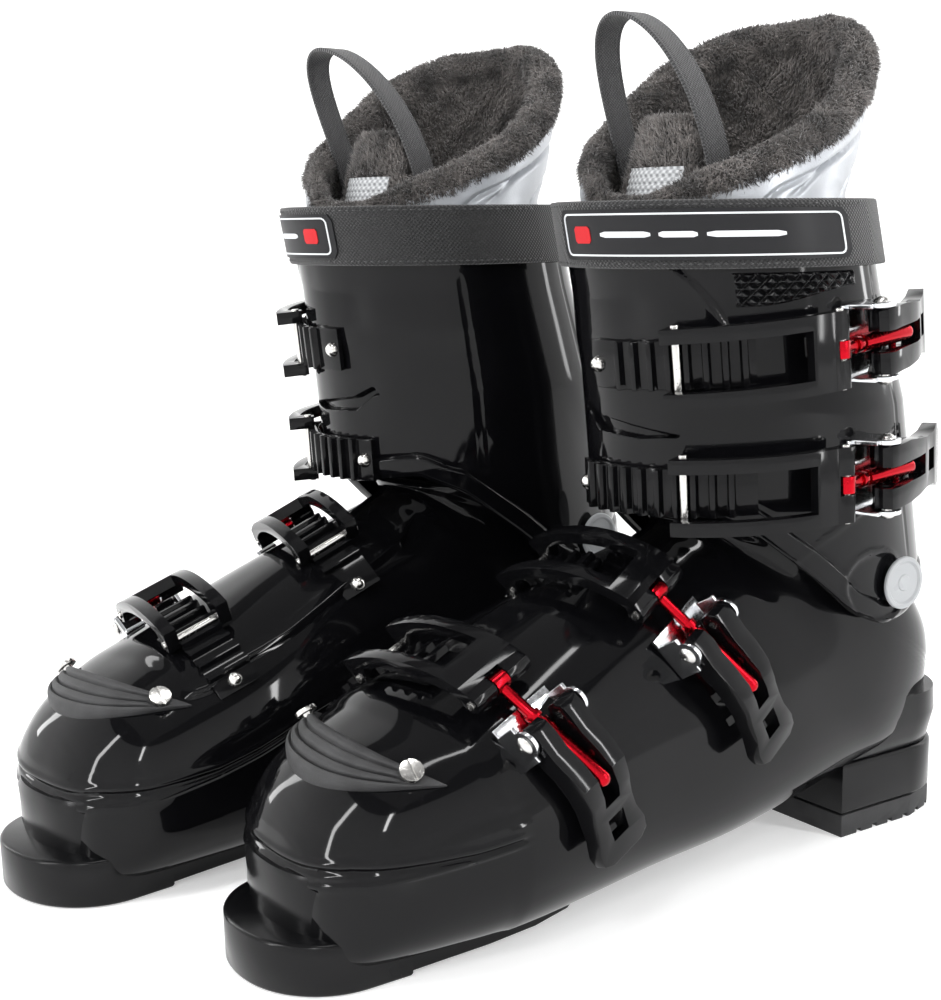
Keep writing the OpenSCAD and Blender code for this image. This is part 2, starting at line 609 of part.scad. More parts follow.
module boot_part(name, loop_outward) {
    if (name == "lower_shell") color("#101012") lower_shell_solid();
    if (name == "heel_tread") color("#1c1c1d") heel_tread_solid();
    if (name == "boot_board") color("#3a3a3c") boot_board_solid();
    if (name == "toe_pad") color("#202022") toe_pad_solid();
    if (name == "cuff") color("#131316") cuff_solid();
    if (name == "cuff_pivots") color("#b4b6b9") cuff_pivots_solid();
    if (name == "liner_foot") color("#3c3b3c") liner_foot_solid();
    if (name == "liner_shaft") color("#b9bdc2") liner_shaft_solid(loop_outward > 0 ? -1 : 1);
    if (name == "liner_tongue") color("#6a6668") liner_tongue_solid();
    if (name == "pull_loop") color("#4a4a4d") pull_loop_solid(loop_outward);
    if (name == "power_strap") color("#17171a") power_strap_solid();
    if (name == "strap_patch") color("#2a2a2e") strap_patch_solid();
    if (name == "shell_ladders") color("#1a1a1d") { ladder(TOE); ladder(INSTEP); }
    if (name == "cuff_ladders") color("#1a1a1d") { ladder(LOWER_CUFF); ladder(UPPER_CUFF); }
    if (name == "shell_buckle_bases") color("#c9ccd0") { buckle_base(TOE); buckle_base(INSTEP); }
    if (name == "cuff_buckle_bases") color("#c9ccd0") { buckle_base(LOWER_CUFF); buckle_base(UPPER_CUFF); }
    if (name == "shell_fasteners") color("#d5d7da") {
        hinge_pins(TOE); hinge_pins(INSTEP); ladder_rivet(TOE); ladder_rivet(INSTEP); toe_pad_screws();
    }
    if (name == "cuff_fasteners") color("#d5d7da") {
        hinge_pins(LOWER_CUFF); hinge_pins(UPPER_CUFF);
        ladder_rivet(LOWER_CUFF); ladder_rivet(UPPER_CUFF);
    }
    if (name == "toe_lever") color("#17171a") lever(TOE);
    if (name == "instep_lever") color("#17171a") lever(INSTEP);
    if (name == "lower_cuff_lever") color("#17171a") lever(LOWER_CUFF);
    if (name == "upper_cuff_lever") color("#17171a") lever(UPPER_CUFF);
    if (name == "toe_rod") color("#b0121c") rod(TOE);
    if (name == "instep_rod") color("#b0121c") rod(INSTEP);
    if (name == "lower_cuff_rod") color("#b0121c") rod(LOWER_CUFF);
    if (name == "upper_cuff_rod") color("#b0121c") rod(UPPER_CUFF);
    if (name == "toe_frame") color("#161618") frame(TOE);
    if (name == "instep_frame") color("#161618") frame(INSTEP);
    if (name == "lower_cuff_frame") color("#161618") frame(LOWER_CUFF);
    if (name == "upper_cuff_frame") color("#161618") frame(UPPER_CUFF);
}

pair_shift = [4.4, -0.5, 0];     // centres the pair's bounding box on the origin
half_gap = [boot_spacing / 2, stagger / 2, 0];
module left_part(name) {
    translate(pair_shift + half_gap) boot_part(name, -14);
}
module right_part(name) {
    translate(pair_shift - half_gap) rotate([0, 0, toe_in]) mirror([1, 0, 0]) boot_part(name, 22);
}

for (piece = PIECES) {
    left_part(piece);
    right_part(piece);
}
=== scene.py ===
import json
import math

import bmesh
import bpy
import numpy as np
from mathutils import Matrix, Vector


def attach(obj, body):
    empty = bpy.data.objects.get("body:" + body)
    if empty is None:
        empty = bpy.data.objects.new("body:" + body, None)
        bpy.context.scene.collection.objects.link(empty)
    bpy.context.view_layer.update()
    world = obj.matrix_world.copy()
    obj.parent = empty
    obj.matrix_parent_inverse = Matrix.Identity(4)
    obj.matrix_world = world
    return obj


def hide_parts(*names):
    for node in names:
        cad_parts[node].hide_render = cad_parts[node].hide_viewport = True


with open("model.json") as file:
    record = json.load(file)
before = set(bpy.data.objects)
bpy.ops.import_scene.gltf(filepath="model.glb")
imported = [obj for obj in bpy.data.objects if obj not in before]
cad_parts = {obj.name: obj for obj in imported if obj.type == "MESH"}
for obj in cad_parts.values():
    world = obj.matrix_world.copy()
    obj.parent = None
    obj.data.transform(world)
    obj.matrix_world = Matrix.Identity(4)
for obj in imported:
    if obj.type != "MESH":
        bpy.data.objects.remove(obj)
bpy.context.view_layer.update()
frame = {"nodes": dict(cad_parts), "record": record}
MM = 0.001
SIDES = ("left", "right")
BUCKLES = ("toe", "instep", "lower_cuff", "upper_cuff")


# ---- where each boot stands ----

def mount_position(name):
    for mount in frame["record"]["mounts"]:
        if mount["name"] == name:
            return np.array(mount["pos_m"])
    raise KeyError(name)


TOE_MOUNT_Y = -135.0          # place of the toe's sole mount along a boot, in mm


def boot_axes(side):
    """Origin and x, y, z axes of one boot, as seen in the model's frame."""
    toe = mount_position(side + "_toe_sole")
    heel = mount_position(side + "_heel_sole")
    back = (heel - toe) / np.linalg.norm(heel - toe)
    out = np.array([back[1], -back[0], 0.0]) * (1 if side == "left" else -1)
    return toe - back * TOE_MOUNT_Y * MM, np.array([out, back, [0, 0, 1]])


AXES = {side: boot_axes(side) for side in SIDES}


def placed(side, points):
    origin, axes = AXES[side]
    return np.asarray(points, float) * MM @ axes + origin


def unit(vectors):
    return vectors / np.linalg.norm(vectors, axis=-1, keepdims=True)


def add_object(name, data):
    made = bpy.data.objects.new(name, data)
    bpy.context.scene.collection.objects.link(made)
    return made


# ---- camera ----

CAMERA_AT = (452.85, -355.84, 240.65)     # in the left boot's frame, in mm
CAMERA_AZIMUTH = 54.28
CAMERA_ELEVATION = 12.56
CAMERA_ROLL = -0.69
CAMERA_LENS = 57.74
CAMERA_SHIFT = (-0.0749, 0.0777)


def make_camera():
    azimuth, elevation, roll = map(math.radians, (CAMERA_AZIMUTH, CAMERA_ELEVATION, CAMERA_ROLL))
    back = Vector((math.sin(azimuth) * math.cos(elevation), -math.cos(azimuth) * math.cos(elevation),
                   math.sin(elevation)))
    right = (-back).cross(Vector((0, 0, 1))).normalized()
    up = right.cross(-back)
    rolled_right = right * math.cos(roll) + up * math.sin(roll)
    rolled_up = up * math.cos(roll) - right * math.sin(roll)
    data = bpy.data.cameras.new("camera")
    data.sensor_width = 36
    data.lens = CAMERA_LENS
    data.shift_x, data.shift_y = CAMERA_SHIFT
    data.clip_start = 0.01
    camera = add_object("camera", data)
    matrix = Matrix((rolled_right, rolled_up, back)).transposed().to_4x4()
    matrix.translation = Vector(placed("left", CAMERA_AT))
    camera.matrix_world = matrix
    bpy.context.scene.camera = camera


make_camera()


# ---- materials ----

def new_material(name, color, roughness, **sockets):
    """A Principled material with plain values on its sockets."""
    material = bpy.data.materials.new(name)
    material.use_nodes = True
    shader = material.node_tree.nodes["Principled BSDF"]
    shader.inputs["Base Color"].default_value = (*color, 1)
    shader.inputs["Roughness"].default_value = roughness
    for socket, value in sockets.items():
        shader.inputs[socket.replace("_", " ")].default_value = value
    return material, material.node_tree, shader


def link(tree, output, node, socket):
    tree.links.new(output, node.inputs[socket])


def add_node(tree, kind, **values):
    node = tree.nodes.new(kind)
    for key, value in values.items():
        if key in node.inputs:
            node.inputs[key].default_value = value
        else:
            setattr(node, key, value)
    return node


def object_coordinates(tree):
    return add_node(tree, "ShaderNodeTexCoord").outputs["Object"]


def noise(tree, scale, detail=3.0):
    node = add_node(tree, "ShaderNodeTexNoise", Scale=scale, Detail=detail)
    link(tree, object_coordinates(tree), node, "Vector")
    return node.outputs["Fac"]


def ramp(tree, value, low, high, start=0.3, end=0.7):
    """Map a 0 to 1 value between two colours or two numbers."""
    node = add_node(tree, "ShaderNodeValToRGB")
    link(tree, value, node, "Fac")
    for element, position, level in zip(node.color_ramp.elements, (start, end), (low, high)):
        element.position = position
        element.color = (*level, 1) if isinstance(level, tuple) else (level, level, level, 1)
    return node.outputs["Color"]


def bump(tree, shader, height, strength, distance):
    node = add_node(tree, "ShaderNodeBump", Strength=strength, Distance=distance)
    link(tree, height, node, "Height")
    link(tree, node.outputs["Normal"], shader, "Normal")


def gloss_plastic(name, color, roughness=0.09, spread=0.05):
    """Polished moulded plastic: faint unevenness in the gloss and in the surface."""
    material, tree, shader = new_material(name, color, roughness, Specular_IOR_Level=0.19)
    link(tree, ramp(tree, noise(tree, 35), roughness - spread / 2, roughness + spread), shader, "Roughness")
    bump(tree, shader, noise(tree, 28, 2.0), 0.12, 0.0004)
    return material


def metal(name, color, roughness, grain=900):
    material, tree, shader = new_material(name, color, roughness, Metallic=1.0)
    link(tree, ramp(tree, noise(tree, grain, 4.0), roughness * 0.7, roughness * 1.5), shader, "Roughness")
    bump(tree, shader, noise(tree, grain * 0.4), 0.08, 0.0002)
    return material


def rubber(name, color, roughness):
    material, tree, shader = new_material(name, color, roughness)
    dark, light = (tuple(share * c for c in color) for share in (0.75, 1.5))
    link(tree, ramp(tree, noise(tree, 120), dark, light), shader, "Base Color")
    bump(tree, shader, noise(tree, 1800, 5.0), 0.35, 0.0003)
    return material


def woven(name, color, light, pitch_mm, roughness=0.75, depth=0.6):
    """Webbing: warp and weft ribs in the strap's own UV map, whose unit is a millimetre."""
    material, tree, shader = new_material(name, color, roughness, Sheen_Weight=0.25)
    split = add_node(tree, "ShaderNodeSeparateXYZ")
    link(tree, add_node(tree, "ShaderNodeUVMap").outputs["UV"], split, "Vector")
    product = add_node(tree, "ShaderNodeMath", operation="MULTIPLY")
    for place, axis in enumerate("XY"):
        scaled = add_node(tree, "ShaderNodeMath", operation="MULTIPLY")
        scaled.inputs[1].default_value = 2 * math.pi / pitch_mm
        link(tree, split.outputs[axis], scaled, 0)
        wave = add_node(tree, "ShaderNodeMath", operation="SINE")
        link(tree, scaled.outputs[0], wave, 0)
        link(tree, wave.outputs[0], product, place)
    level = add_node(tree, "ShaderNodeMapRange")
    level.inputs["From Min"].default_value = -1
    link(tree, product.outputs[0], level, "Value")
    link(tree, ramp(tree, level.outputs["Result"], color, light, 0.25, 0.85), shader, "Base Color")
    bump(tree, shader, level.outputs["Result"], depth, 0.0006)
    return material


def fur_fibre(name, dark, light):
    material, tree, shader = new_material(name, dark, 0.55, Sheen_Weight=0.35, Sheen_Roughness=0.4)
    broad = ramp(tree, noise(tree, 90, 2.0), dark, light, 0.35, 0.68)
    fine = ramp(tree, noise(tree, 900, 2.0), 0.55, 1.35, 0.3, 0.75)
    mix = add_node(tree, "ShaderNodeMix", data_type="RGBA", blend_type="MULTIPLY")
    mix.inputs["Factor"].default_value = 1.0
    link(tree, broad, mix, "A")
    link(tree, fine, mix, "B")
    link(tree, mix.outputs["Result"], shader, "Base Color")
    return material


def synthetic_leather(name, color):
    material, tree, shader = new_material(name, color, 0.34, Metallic=0.35, Coat_Weight=0.15,
                                          Coat_Roughness=0.25)
    link(tree, ramp(tree, noise(tree, 60), tuple(0.86 * c for c in color), color), shader, "Base Color")
    grain = add_node(tree, "ShaderNodeTexVoronoi", Scale=1400)
    link(tree, object_coordinates(tree), grain, "Vector")
    bump(tree, shader, grain.outputs["Distance"], 0.18, 0.0002)
    return material


MATERIALS = {
    "shell": gloss_plastic("shell_black", (0.0025, 0.0025, 0.003), 0.055, 0.03),
    "cuff": gloss_plastic("cuff_black", (0.0028, 0.0028, 0.0034), 0.06, 0.03),
    "buckle": gloss_plastic("buckle_black", (0.003, 0.003, 0.0035), 0.09, 0.04),
    "sole": gloss_plastic("sole_black", (0.004, 0.004, 0.0045), 0.2, 0.08),
    "pad": rubber("pad_rubber", (0.018, 0.018, 0.019), 0.62),
    "tread": rubber("tread_rubber", (0.014, 0.014, 0.015), 0.66),
    "board": rubber("board_grey", (0.05, 0.05, 0.055), 0.6),
    "disc": gloss_plastic("disc_grey", (0.36, 0.37, 0.38), 0.3, 0.08),
    "chrome": metal("bracket_chrome", (0.72, 0.73, 0.75), 0.14),
    "steel": metal("screw_steel", (0.62, 0.61, 0.59), 0.2),
    "rod": metal("rod_red", (0.42, 0.006, 0.014), 0.2),
    "strap": woven("strap_black", (0.002, 0.002, 0.0024), (0.012, 0.012, 0.013), 1.6),
    "hook": woven("stitch_black", (0.008, 0.008, 0.009), (0.03, 0.03, 0.032), 3.2, 0.6, 1.0),
    "loop": woven("loop_grey", (0.012, 0.012, 0.0125), (0.05, 0.05, 0.053), 1.3),
    "ribbed": woven("tongue_webbing", (0.28, 0.29, 0.3), (0.62, 0.63, 0.65), 2.6, 0.55),
    "patch": gloss_plastic("patch_grey", (0.012, 0.012, 0.0135), 0.38, 0.08),
    "ink": gloss_plastic("patch_light", (0.7, 0.72, 0.74), 0.4, 0.08),
    "accent": gloss_plastic("patch_red", (0.5, 0.01, 0.015), 0.4, 0.08),
    "silver": synthetic_leather("liner_silver", (0.46, 0.48, 0.51)),
    "fur": fur_fibre("liner_fur", (0.036, 0.032, 0.030), (0.19, 0.172, 0.162)),
    "lining": rubber("liner_lining", (0.05, 0.045, 0.042), 0.85),
}


# ---- mesh helpers ----

def grid_faces(rows, columns, closed_columns=False, closed_rows=False):
    row_count = rows if closed_rows else rows - 1
    column_count = columns if closed_columns else columns - 1
    r, c = np.meshgrid(np.arange(row_count), np.arange(column_count), indexing="ij")
    r2, c2 = (r + 1) % rows, (c + 1) % columns
    quads = np.stack([r * columns + c, r * columns + c2, r2 * columns + c2, r2 * columns + c], -1)
    return quads.reshape(-1, 4)


def hang(side, name, mesh, material, body, replaces=()):
    """Put a finished mesh in the scene as one visible piece that rides on its body."""
    mesh.materials.append(MATERIALS[material])
    piece = add_object(f"{side}_{name}", mesh)
    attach(piece, f"{side}_{body}")
    if replaces:
        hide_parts(*(f"{side}_{node}" for node in replaces))
    return piece


def add_piece(side, name, solid, material, body, replaces=(), smooth_angle=40, uv=None):
    """Make one visible piece from a solid's points, in boot-frame millimetres, and faces."""
    points, faces = solid
    mesh = bpy.data.meshes.new(f"{side}_{name}")
    mesh.from_pydata(placed(side, points).tolist(), [], [tuple(int(i) for i in f) for f in faces])
    work = bmesh.new()
    work.from_mesh(mesh)
    bmesh.ops.recalc_face_normals(work, faces=work.faces)
    work.to_mesh(mesh)
    work.free()
    if uv is not None:
        layer = mesh.uv_layers.new(name="UVMap")
        indices = np.zeros(len(mesh.loops), int)
        mesh.loops.foreach_get("vertex_index", indices)
        layer.data.foreach_set("uv", np.asarray(uv, float)[indices].ravel())
    mesh.validate()
    mesh.update()
    mesh.shade_smooth()
    if smooth_angle < 180:
        mesh.set_sharp_from_angle(angle=math.radians(smooth_angle))
    return hang(side, name, mesh, material, body, replaces)


def tube(rings):
    """Closed solid skinned over closed rings of equal length, capped at both ends."""
    rings = np.asarray(rings, float)
    rows, columns = rings.shape[:2]
    last = (rows - 1) * columns
    faces = [tuple(f) for f in grid_faces(rows, columns, closed_columns=True)]
    return rings.reshape(-1, 3), faces + [tuple(range(columns)), tuple(range(last, last + columns))]


def band(rings):
    """Closed solid of rings that meet end to end, such as a strap round a leg."""
    rings = np.asarray(rings, float)
    faces = [tuple(f) for f in grid_faces(*rings.shape[:2], closed_columns=True, closed_rows=True)]
    return rings.reshape(-1, 3), faces


def merged(parts):
    """One list of points and faces out of several."""
    points, faces, start = [], [], 0
    for part_points, part_faces in parts:
        points.append(np.asarray(part_points, float))
        faces += [tuple(int(i) + start for i in f) for f in part_faces]
        start += len(part_points)
    return np.concatenate(points), faces


def grid_normals(points, closed_columns=True):
    """Unit normals of a grid of points, rows by columns."""
    along = np.gradient(points, axis=0)
    if closed_columns:
        around = (np.roll(points, -1, 1) - np.roll(points, 1, 1)) / 2
    else:
        around = np.gradient(points, axis=1)
    normal = np.cross(around, along)
    return normal / np.maximum(np.linalg.norm(normal, axis=2, keepdims=True), 1e-9)


def lookup(value, table):
    table = np.array(table, float)
    return np.interp(value, table[:, 0], table[:, 1])


def ease(value, start, end):
    """0 before start, 1 after end, and smooth between."""
    t = np.clip((value - start) / (end - start), 0, 1)
    return t * t * (3 - 2 * t)


def ridge(distance, width):
    return np.exp(-(distance / width) ** 2)


def signed_power(value, exponent):
    return np.sign(value) * np.abs(value) ** exponent


def sin_deg(angle):
    return np.sin(np.radians(angle))


def cos_deg(angle):
    return np.cos(np.radians(angle))


def full_turn(count):
    return np.linspace(0, 360, count, endpoint=False)


def running_length(points):
    """Length along a line of points, from 0 at the first one."""
    return np.concatenate([[0], np.cumsum(np.linalg.norm(np.diff(points, axis=0), axis=1))])


def stretches(*parts):
    """Rising values in stretches: (start, count) for each stretch, and then the last end."""
    ends = [start for start, _ in parts[1:-1]] + [parts[-1]]
    return np.concatenate([np.linspace(start, end, count)[min(k, 1):]
                           for k, ((start, count), end) in enumerate(zip(parts, ends))])


def slab(upper, lower):
    """Closed solid between two grids of points of the same size."""
    return tube(np.concatenate([upper, lower[:, ::-1]], axis=1))


# ---- lower shell ----

# Sections of the lower shell: [top y, top z, bottom y, bottom z, outer half width,
# inner half width, place of the widest line, roundness above it, roundness below it]
FOOT = np.array([
    [-142, 40, -142, 6, 15, 15, 0.50, 3.2, 4.0],
    [-139, 50, -139, 5, 27.5, 27.5, 0.50, 2.4, 3.8],
    [-132, 61, -132, 4, 38, 37, 0.50, 2.2, 4.0],
    [-120, 71, -120, 3, 46, 45, 0.50, 2.2, 3.4],
    [-100, 81, -100, 3, 52, 50, 0.50, 2.2, 3.2],
    [-75, 91, -75, 3, 56, 53, 0.52, 2.2, 3.0],
    [-45, 104, -46, 4, 55, 52, 0.55, 2.1, 2.8],
    [-18, 114, -10, 7, 52, 50, 0.56, 2.0, 2.8],
    [3, 120, 30, 10, 50, 48, 0.57, 2.0, 2.8],
    [15, 124, 66, 16, 48, 46, 0.57, 2.0, 2.8],
    [21, 126.5, 100, 22, 45.4, 45, 0.56, 2.1, 2.8],
    [25, 128, 130, 26, 44, 43.6, 0.56, 2.2, 2.6],
    [27, 129.5, 149, 44, 43, 42.6, 0.54, 2.2, 2.4],
    [28, 130.5, 151, 70, 43, 42.6, 0.52, 2.2, 2.3],
    [28, 131.5, 135, 100, 43, 42.6, 0.50, 2.2, 2.2],
    [28.5, 132, 127, 128, 43, 42.6, 0.50, 2.2, 2.2]])
FOOT_END = len(FOOT) - 1
SHELL_WALL = 5.0


def foot_rows(stations):
    """Rows of the section table at any stations, smoothly in between its own."""
    stations = np.asarray(stations, float)
    i = np.clip(np.floor(stations), 0, FOOT_END - 1).astype(int)
    t = (stations - i)[..., None]
    p0, p1 = FOOT[np.maximum(i - 1, 0)], FOOT[i]
    p2, p3 = FOOT[i + 1], FOOT[np.minimum(i + 2, FOOT_END)]
    return 0.5 * (2 * p1 + (p2 - p0) * t + (2 * p0 - 5 * p1 + 4 * p2 - p3) * t * t
                  + (3 * p1 - p0 - 3 * p2 + p3) * t ** 3)


def foot_surface(stations, angles, inset=0.0, floor=0.0):
    """Points of the foot shape pulled in by inset; angle 0 is the top and 90 the outer side."""
    stations, angles = np.broadcast_arrays(np.asarray(stations, float), np.asarray(angles, float))
    row = foot_rows(stations)
    zero = np.zeros(stations.shape)
    top = np.stack([zero, row[..., 0], row[..., 1]], -1)
    bottom = np.stack([zero, row[..., 2], row[..., 3]], -1)
    down = unit(bottom - top)
    top, bottom = top + down * inset, bottom - down * (inset + floor)
    c, s = cos_deg(angles), sin_deg(angles)
    e = 2 / np.where(c >= 0, row[..., 7], row[..., 8])
    widest = row[..., 6]
    q = np.where(c >= 0, widest * (1 - np.abs(c) ** e), widest + (1 - widest) * np.abs(c) ** e)
    w = np.where(s >= 0, row[..., 4], row[..., 5]) - inset
    points = top + (bottom - top) * q[..., None]
    points[..., 0] += w * signed_power(s, e)
    return points


def foot_lifted(stations, angles, lift):
    """Points over the shell's surface, lifted off it the way the toe pad is."""
    points = foot_surface(stations, angles)
    row = foot_rows(np.broadcast_to(stations, points.shape[:-1]))
    centre = np.zeros(points.shape)
    centre[..., 1:] = row[..., :2] + (row[..., 2:4] - row[..., :2]) * row[..., 6:7]
    out = unit(points - centre)
    return points + (out + np.array([0, -0.25, 0.25])) * np.asarray(lift, float)[..., None]


# Height of the band under the lip, which narrows towards the back
LIP_BAND = [[-142, 6.2], [-130, 5.6], [-112, 3.6], [-96, 2.2], [-60, 1.8]]
# Height of the toe box lip on each side, and of the flap edge on the inner side, by y
LIP_OUTER = [[-142, 41], [-132, 43.5], [-114, 44.5], [-95, 45.2], [-77, 47.5], [-60, 51]]
LIP_INNER = [[-142, 41], [-135, 43], [-122, 44], [-97, 47.3], [-81, 51.5], [-63, 57.3], [-20, 68],
             [20, 76]]
FLAP_EDGE = [[-104, 70], [-92, 72.5], [-78, 79], [-56, 86], [-26, 98], [9, 111], [24, 121]]


def angles_at(station, heights, side):
    """Angles at which a section passes given heights, on the outer (1) or inner (-1) side."""
    probe = np.linspace(0.0, 180.0, 721)
    z = foot_surface(station, side * probe)[:, 2]
    return np.interp(-np.asarray(heights, float), -z, probe)


LIP_HALF_HEIGHT = 5.5         # of the close rows of points that follow the lip, in mm
FLAP_HALF_HEIGHT = 2.4        # of those that follow the flap's edge


def shell_angles(station):
    """Angles of one section's points, crowded together along the lip and the flap's edge."""
    y, head = foot_rows(station)[:2]
    head = head - 4

    def band(centre, half, count):
        centre = min(centre, head - half)
        return np.linspace(centre + half, centre - half, count)

    outer_lip = angles_at(station, band(lookup(y, LIP_OUTER), LIP_HALF_HEIGHT, 19), 1)
    outer = np.concatenate([np.linspace(0, outer_lip[0], 30)[:-1], outer_lip,
                            np.linspace(outer_lip[-1], 180, 30)[1:]])
    lip = band(lookup(y, LIP_INNER), LIP_HALF_HEIGHT, 19)
    flap = band(max(lookup(y, FLAP_EDGE), lip[0] + 5), FLAP_HALF_HEIGHT, 9)
    if flap[-1] <= lip[0] + 0.5:
        flap = np.linspace(min(head, lip[0] + 3.5), lip[0] + 0.8, 9)
    inner_lip = angles_at(station, lip, -1)
    inner_flap = angles_at(station, flap, -1)
    inner = np.concatenate([np.linspace(0, inner_flap[0], 18)[1:-1], inner_flap,
                            np.linspace(inner_flap[-1], inner_lip[0], 14)[1:-1], inner_lip,
                            np.linspace(inner_lip[-1], 180, 30)[1:-1]])
    return np.concatenate([outer, 360 - inner[::-1]])


PAD_HALF_ANGLE = 52


def pad_edges(t):
    """Lowest and highest station of the leaf shaped toe pad at t, from -1 to 1 across it."""
    return 2.15 + 1.85 * t * t, 3.3 + 0.7 * t * t


def shell_relief(points):
    """How far the moulded details stand out of the plain shell, in mm."""
    x, y, z = points[..., 0], points[..., 1], points[..., 2]
    outer_side = ease(x, -9, 9)
    gap = z - lookup(y, LIP_INNER) * (1 - outer_side) - lookup(y, LIP_OUTER) * outer_side
    reach = outer_side * (1 - ease(y, -81, -78)) \
        + (1 - outer_side) * (1 - 0.55 * ease(y, -60, 0) - 0.45 * ease(y, 0, 18))
    band = lookup(y, LIP_BAND)
    overhang = 0.75 * ease(gap, -0.5, 0.5) + 0.45 * ridge(gap - 1.2, 1.0)
    groove = -0.8 * ridge(gap + 0.9, 0.75)
    lower = 0.55 * ridge(gap + band, 0.9) - 0.45 * ease(-gap - band, 0.4, 1.6)
    corner = ease(-79 - (z - 47) * 0.3 - y, -0.5, 0.5) * (1 - ease(z, 62, 84))
    above = 1 + (corner - 1) * outer_side
    relief = (overhang * above + groove + lower) * reach
    relief = relief + 0.45 * ridge(corner - 0.5, 0.25) * (gap > 0) * outer_side
    flap_gap = z - lookup(y, FLAP_EDGE)
    flap = ease(flap_gap, -0.6, 0.6) * 1.3 + 0.5 * ridge(flap_gap - 1.0, 0.9)
    inner = 1 - ease(x, -4, 4)
    on_flap = (1 - (1 - ease(-x, -26, 0)) * (1 - inner)) * ease(y, -104, -96) * (1 - ease(y, 10, 26))
    return relief + (flap * inner + 1.3 * (1 - inner)) * on_flap


def make_shell(side):
    stations = stretches((0, 22), (1, 16), (2, 46), (4.2, 108), FOOT_END)
    angle_rows = np.array([shell_angles(s) for s in stations])
    outer = foot_surface(stations[:, None], angle_rows)
    centre = outer[0].mean(0)
    nose = [centre + (outer[0] - centre) * k + np.array([0, -d, 0])
            for k, d in ((0.02, 1.7), (0.3, 1.66), (0.55, 1.5), (0.75, 1.2), (0.9, 0.7))]
    outer = np.concatenate([nose, outer])
    normals = grid_normals(outer)
    centre = outer.mean(axis=1, keepdims=True)
    flip = np.sign(((outer - centre) * normals).sum(2, keepdims=True))
    normals = normals * np.where(flip == 0, 1, flip)
    normals[:len(nose) - 1] = [0, -1, 0]
    outer = outer + normals * shell_relief(outer)[..., None]
    rim = [foot_surface(FOOT_END, angle_rows[-1], depth) + np.array([0, 0, lift])
           for depth, lift in ((1.0, 1.2), (2.5, 1.7), (4.0, 1.2))]
    inner = [foot_surface(s, angle_rows[-1], SHELL_WALL) for s in np.linspace(FOOT_END, 0.7, 40)]
    add_piece(side, "shell_moulding", tube(np.array(list(outer) + rim + inner)), "shell", "shell",
              ["lower_shell"], 55)


# ---- sole ----

HALF_SOLE = 156.0
LUG_HALF_WIDTH = 34.5
TOE_WALL_SETBACK = 13.5      # of the shell's upright nose wall from the tip of the lug
# Thin sole plate from the toe lug to the arch: [y, underside z, half width]
SOLE_PLATE = [[-116, 0.6, 34], [-100, 1.0, 34], [-80, 1.4, 34], [-60, 2.2, 33], [-44, 3.4, 30],
              [-34, 5.0, 24]]


def lug_ring(length, roundness, end_depth, inset):
    """Outline of a lug from above, its rounded end at y 0 and its body towards +y."""
    w = LUG_HALF_WIDTH - inset
    t = np.sin(np.linspace(-90, 90, 49) * math.pi / 180)
    end = np.stack([w * t, inset + end_depth * (1 - (1 - np.abs(t) ** roundness) ** (1 / roundness))], -1)
    return np.concatenate([end, [[w, length - inset], [-w, length - inset]]])


def extruded(outline_at, levels):
    """Rings of an upright solid: outline_at(inset) at every [z, inset]."""
    outlines = [(outline_at(inset), z) for z, inset in levels]
    return np.array([np.column_stack([outline, np.full(len(outline), z)]) for outline, z in outlines])


def bevelled_levels(low, high, radius):
    return [[low, radius], [low + 0.35 * radius, 0.35 * radius], [low + radius, 0],
            [high - radius, 0], [high - 0.35 * radius, 0.35 * radius], [high, radius]]


def make_sole(side):
    toe = extruded(lambda inset: lug_ring(46, 2.1, 30, inset), bevelled_levels(0, 18, 1.3))
    toe[..., 1] -= HALF_SOLE
    wall = extruded(lambda inset: lug_ring(44, 2.3, 33, inset),
                    [[15, -2.2], [26, -2.8], [35, -3.3], [38, -2.2]])
    wall[..., 1] -= HALF_SOLE - TOE_WALL_SETBACK
    heel = extruded(lambda inset: lug_ring(68, 2.2, 28, inset),
                    [*bevelled_levels(9, 30, 1.4), [30, 1.5], [31, 0.4], [36, -1.6], [44, -4.0], [54, -5.0]])
    heel[..., 1] = HALF_SOLE - heel[..., 1]
    heel[-4:, :, 1] -= np.array([1.5, 4.0, 6.0, 9.0])[:, None]
    plate = []
    for y, z, half in SOLE_PLATE:
        x = np.linspace(-half, half, 15)
        under = 1.2 * (np.abs(x) / half) ** 6
        plate.append(np.concatenate([np.column_stack([x, 0 * x + y, z + under]),
                                     np.column_stack([x[::-1], 0 * x + y, 0 * x + z + 9])]))
    add_piece(side, "sole_lugs", merged([tube(rings) for rings in (toe, wall, heel, plate)]), "sole", "shell",
              ["lower_shell"], 35)


# ---- toe pad ----

def make_toe_pad(side):
    t = np.linspace(-0.985, 0.985, 151)[:, None]
    across = np.linspace(0, 1, 61)[None, :]
    low, high = pad_edges(t)
    stations = low + (high - low) * across
    angles = np.broadcast_to(3 + PAD_HALF_ANGLE * t, stations.shape)
    edge = np.abs(2 * across - 1)
    crown = (1 - 0.8 * edge ** 8) * (1 - 0.75 * t ** 6)
    grooves = sum(ridge((across - place) * (1 - 0.5 * t * t), 0.028) for place in (0.26, 0.5, 0.74))
    grooves = grooves * ease(np.abs(t), 0.86, 0.7)
    screws = sum(ridge((angles - a) * 0.85, 4.6) * ridge((stations - 3.58) * 22, 5.0) for a in (42, -37))
    top = 0.4 + 3.2 * crown - 1.3 * grooves * (1 - screws) - 0.9 * screws ** 2
    upper = foot_lifted(stations, angles, top)
    lower = foot_lifted(stations, angles, np.full(stations.shape, 0.1))
    add_piece(side, "toe_pad_rubber", slab(upper, lower), "pad", "shell", ["toe_pad"], 60)


# ---- cuff ----

